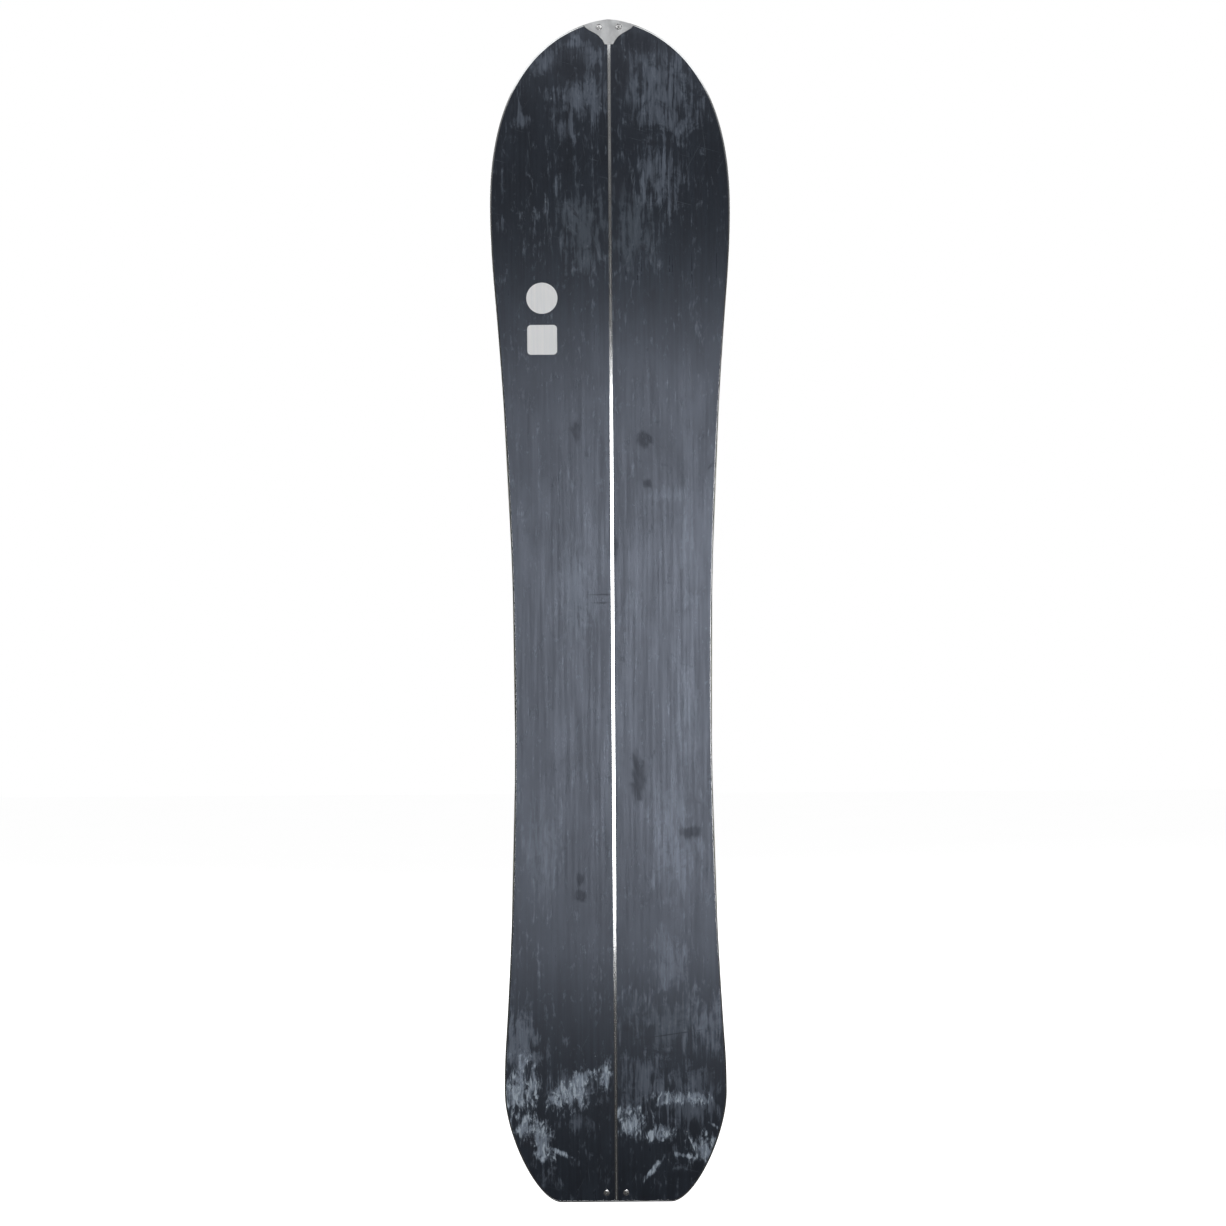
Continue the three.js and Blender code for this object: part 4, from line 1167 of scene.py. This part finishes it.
def clip_stud(foot, middle, head_radius):
    """A bush or post: its foot in the board, what surrounds its shoulder, and its head."""
    head_low = CLIP_ARM_LOW + CLIP_ARM_THICKNESS + WORKING_GAP
    inner = END_SCREW_RADIUS + FIT
    profile = [
        (0, 2 * MM),
        (inner, 2 * MM),
        (inner, foot),
        (BUSH_RADIUS, foot),
        *middle,
        *dome(CLIP_SHOULDER_RADIUS, head_low, head_radius, 1.5 * MM),
    ]
    return turned(profile)


def end_clip(end, points_up):
    middle = CLIP_ARM_LOW + CLIP_ARM_THICKNESS / 2
    here = seat(f"{end}_clip_swing", middle)
    bush_at = here @ Matrix.Translation((-END_SCREW_X, 0, 0))
    post_at = here @ Matrix.Translation((END_SCREW_X, 0, 0))
    foot = -sheet_top(SCREW_PLACES[end]) + CORE_LOW + 2 * FIT
    flange_radius, washer_radius, arm_half_width = 6.5 * MM, 7 * MM, 6.5 * MM

    shoulder = [(BUSH_RADIUS, FIT), (CLIP_SHOULDER_RADIUS, FIT)]
    build(f"{end}_clip_bush", clip_stud(foot, shoulder, 5.6 * MM), bush_at,
          "stud", "left_half", "clip_metal", 0.15 * MM)
    flange_top = CLIP_ARM_LOW - WORKING_GAP
    flange = [
        (BUSH_RADIUS, HAIRLINE),
        (flange_radius, HAIRLINE),
        (flange_radius, flange_top),
        (CLIP_SHOULDER_RADIUS, flange_top),
    ]
    build(f"{end}_clip_post", clip_stud(foot, flange, 5.2 * MM), post_at,
          "stud", "right_half", "clip_metal", 0.15 * MM)

    inner = CLIP_SHOULDER_RADIUS + FIT
    top = CLIP_ARM_LOW - FIT
    section = [(inner, HAIRLINE), (washer_radius, HAIRLINE), (washer_radius, top), (inner, top)]
    build(f"{end}_clip_washer", turned([*section, section[0]]), bush_at,
          "nylon", "left_half", "washer", 0.15 * MM)

    loops = arm_outline(2 * END_SCREW_X, arm_half_width, CLIP_SHOULDER_RADIUS)
    arm = extruded(loops, CLIP_ARM_LOW, CLIP_ARM_LOW + CLIP_ARM_THICKNESS)
    build(f"{end}_clip_arm", arm, here @ parked(-END_SCREW_X, points_up),
          "clip", f"{end}_clip", "clip_metal", 0.35 * MM)


def hook_plate(side, holes):
    """A plate with round corners, beside the seam."""
    inner_x, outer_x, half_length, corner = 4 * MM, 38 * MM, 22 * MM, 5 * MM
    middle_x = (inner_x + outer_x) / 2
    corners = [
        (outer_x, -half_length, -0.5),
        (outer_x, half_length, 0),
        (inner_x, half_length, 0.5),
        (inner_x, -half_length, 1),
    ]
    loop = []
    for x, z, start in corners:
        centre = Vector((x - math.copysign(corner, x - middle_x), z - math.copysign(corner, z)))
        loop += arc(centre, corner, start * math.pi, (start + 0.5) * math.pi, 8)
    places = [Vector((HOOK_SCREW_X, z)) for z in (-HOOK_SCREW_Z, HOOK_SCREW_Z)]
    rings = [circle(place, HOOK_SCREW_RADIUS + FIT) for place in places]
    plate = extruded([loop, *rings, *holes], HOOK_PLATE_LOW - FIT, HOOK_PLATE_LOW + HOOK_PLATE_THICKNESS)
    return on_half(plate, side)


def hook_stud(foot):
    head_low = HOOK_ARM_LOW + HOOK_ARM_THICKNESS + WORKING_GAP
    head = dome(HOOK_SHOULDER_RADIUS, head_low, 6.2 * MM, 1.5 * MM)
    return turned([(0, foot), (HOOK_SHOULDER_RADIUS, foot), *head])


def board_hook(end):
    middle = HOOK_ARM_LOW + HOOK_ARM_THICKNESS / 2
    here = seat(f"{end}_hook_swing", middle)
    pivot = here @ Matrix.Translation((-HOOK_PIVOT_X, 0, 0))
    catch = here @ Matrix.Translation((HOOK_PIVOT_X, 0, 0))

    hole = circle(Vector((HOOK_PIVOT_X, 0)), HOOK_SHOULDER_RADIUS + FIT)
    build(f"{end}_hook_base", hook_plate("left", [hole]), here,
          "coated", "left_half", "hook_plate", 0.3 * MM)
    build(f"{end}_hook_rivet", hook_stud(HOOK_PLATE_LOW), pivot,
          "stud", "left_half", "clip_metal", 0.15 * MM)

    plate = soften(solid(f"{end}_hook_catch_detail", moved(hook_plate("right", []), here)), 0.3 * MM, 3)
    combine(plate, moved(hook_stud(HOOK_PLATE_LOW + 1 * MM), catch), "UNION")
    dress(plate, LOOKS["coated"], "right_half", "hook_plate", f"{end}_hook_catch")

    loops = arm_outline(2 * HOOK_PIVOT_X, 8 * MM, HOOK_SHOULDER_RADIUS)
    arm = extruded(loops, HOOK_ARM_LOW, HOOK_ARM_LOW + HOOK_ARM_THICKNESS)
    build(f"{end}_hook_arm", arm, here @ parked(-HOOK_PIVOT_X, False),
          "clip", f"{end}_hook", "clip_metal", 0.45 * MM)

    model = pan_screw()
    turn = 0.3
    for side, sign in HALVES.items():
        for name, z in (("upper", HOOK_SCREW_Z), ("lower", -HOOK_SCREW_Z)):
            place = Matrix.Translation((sign * HOOK_SCREW_X, 0, z)) @ Matrix.Rotation(turn, 4, "Y")
            fasten(f"{end}_hook_screw_{name}", model, side, here @ place)
            turn += 0.9
    bpy.data.objects.remove(model)


# ---- a plain mark in place of the maker's ----

def inlay(name, loop, x, z):
    """A thin white shape let into the left half's base, following its curve."""
    shares = [i / 8 for i in range(9)]
    bm = stacked(loop, [(share, -HAIRLINE) for share in shares] + [(1, 1 * MM), (0, 1 * MM)])
    for vert in bm.verts:
        vert.co = bend(vert.co.x + x, vert.co.z + z, vert.co.y)
    piece = solid(name, bm)
    return dress(piece, LOOKS["inlay"], "left_half", "base")


def rounded_square(half_side, corner):
    loop = []
    for quarter, (x, z) in enumerate(((1, 1), (-1, 1), (-1, -1), (1, -1))):
        centre = Vector((x, z)) * (half_side - corner)
        start = quarter * math.pi / 2
        loop += arc(centre, corner, start, start + math.pi / 2, 8)
    return loop


def plain_mark():
    low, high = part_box("left_base_sheet")
    x = low.x * 0.58
    upper_z = low.z + 0.768 * (high.z - low.z)
    lower_z = upper_z - 56 * MM
    inlay("left_mark_disc", circle(Vector((0, 0)), 21 * MM), x, upper_z)
    inlay("left_mark_square", rounded_square(20 * MM, 5 * MM), x, lower_z)


# ---- studio ----

CAMERA_DISTANCE = 5.0
FRAME_WIDTH = 1.647
CAMERA_AIM_Z = -6 * MM
CAMERA_ROLL = math.radians(0.38)
FLOOR_GAP = 30 * MM


def add_camera():
    camera = bpy.data.cameras.new("camera")
    camera.sensor_width = 36
    camera.lens = 36 * CAMERA_DISTANCE / FRAME_WIDTH
    camera.clip_end = 100
    holder = linked("camera", camera)
    turn = Matrix.Rotation(math.pi / 2, 4, "X") @ Matrix.Rotation(-CAMERA_ROLL, 4, "Z")
    holder.matrix_world = Matrix.Translation((0.5 * MM, -CAMERA_DISTANCE, CAMERA_AIM_Z)) @ turn
    bpy.context.scene.camera = holder


def add_softbox(name, place, aim, width, height, radiance):
    """A rectangular light. Its power follows from how bright its face is."""
    light = bpy.data.lights.new(name, "AREA")
    light.shape = "RECTANGLE"
    light.size = width
    light.size_y = height
    light.energy = radiance * math.pi * width * height
    holder = linked(name, light)
    holder.location = place
    holder.rotation_euler = (Vector(aim) - Vector(place)).to_track_quat("-Z", "Y").to_euler()
    holder.visible_camera = False


def add_world():
    """White behind the board; a soft grey room, darker below, for what the board reflects."""
    world = bpy.data.worlds.new("studio")
    world.use_nodes = True
    bpy.context.scene.world = world
    tree = world.node_tree
    tree.nodes.clear()
    coordinates = add_node(tree, "ShaderNodeTexCoord")
    apart = add_node(tree, "ShaderNodeSeparateXYZ", {"Vector": coordinates.outputs["Generated"]})
    strength = soft_range(tree, apart.outputs["Z"], 0.12, 0.42, 0.09, 0.34)
    room = add_node(tree, "ShaderNodeBackground", {"Strength": strength})
    backdrop = add_node(tree, "ShaderNodeBackground", {"Color": (1, 1, 1, 1)})
    rays = add_node(tree, "ShaderNodeLightPath")
    choice = add_node(tree, "ShaderNodeMixShader", {
        "Fac": rays.outputs["Is Camera Ray"],
        1: room.outputs["Background"],
        2: backdrop.outputs["Background"],
    })
    add_node(tree, "ShaderNodeOutputWorld", {"Surface": choice.outputs["Shader"]})


def add_floor():
    """A pale floor just under the board, which lights nothing."""
    low, high = cad_box
    bm = bmesh.new()
    bmesh.ops.create_grid(bm, x_segments=1, y_segments=1, size=12)
    floor = solid("floor", moved(bm, Matrix.Translation((0, 0, low.z - FLOOR_GAP))))
    look = Look("pale_floor")
    grain = look.noise((3, 3, 3), detail=2)
    look.shade("Emission Color", (1, 1, 1, 1))
    look.shade("Emission Strength", 0.75)
    floor.data.materials.append(look.finish(look.mix(grain, (0.90, 0.90, 0.90), (0.94, 0.94, 0.94)), 0.8))
    floor.visible_diffuse = False
    floor.visible_glossy = False


def add_studio():
    add_camera()
    add_world()
    add_floor()
    add_softbox("key_softbox", (0.42, -5.4, -0.12), (0.42, 0, -0.12), 1.5, 1.40, 10.0)
    add_softbox("top_softbox", (0, -2.6, 3.1), (0, 0, 0.7), 2.4, 0.9, 1.6)
    for x in (-3.2, 2.6):
        add_softbox("back_softbox", (x, 4.4, 1.3), (0, 0, 0), 2.6, 2.4, 5.0)
    for x in (-4.2, 4.2):
        add_softbox("side_softbox", (x, -2.6, 0.3), (0, 0, 0), 1.6, 2.4, 4.5)
    bpy.context.scene.view_settings.view_transform = "Standard"


HIDDEN_LAYERS = {"lower_laminate": "laminate", "upper_laminate": "laminate", "wood_core": "wood"}


def carried_over_looks():
    """The hidden layers keep their CAD shape."""
    for side in HALVES:
        for node, look in HIDDEN_LAYERS.items():
            mesh = frame["nodes"][f"{side}_{node}"].data
            mesh.materials.clear()
            mesh.materials.append(LOOKS[look])


add_studio()
for half in HALVES:
    board_layers(half)
end_screws()
end_clip("nose", points_up=False)
end_clip("tail", points_up=True)
board_hook("front")
board_hook("rear")
plain_mark()
carried_over_looks()
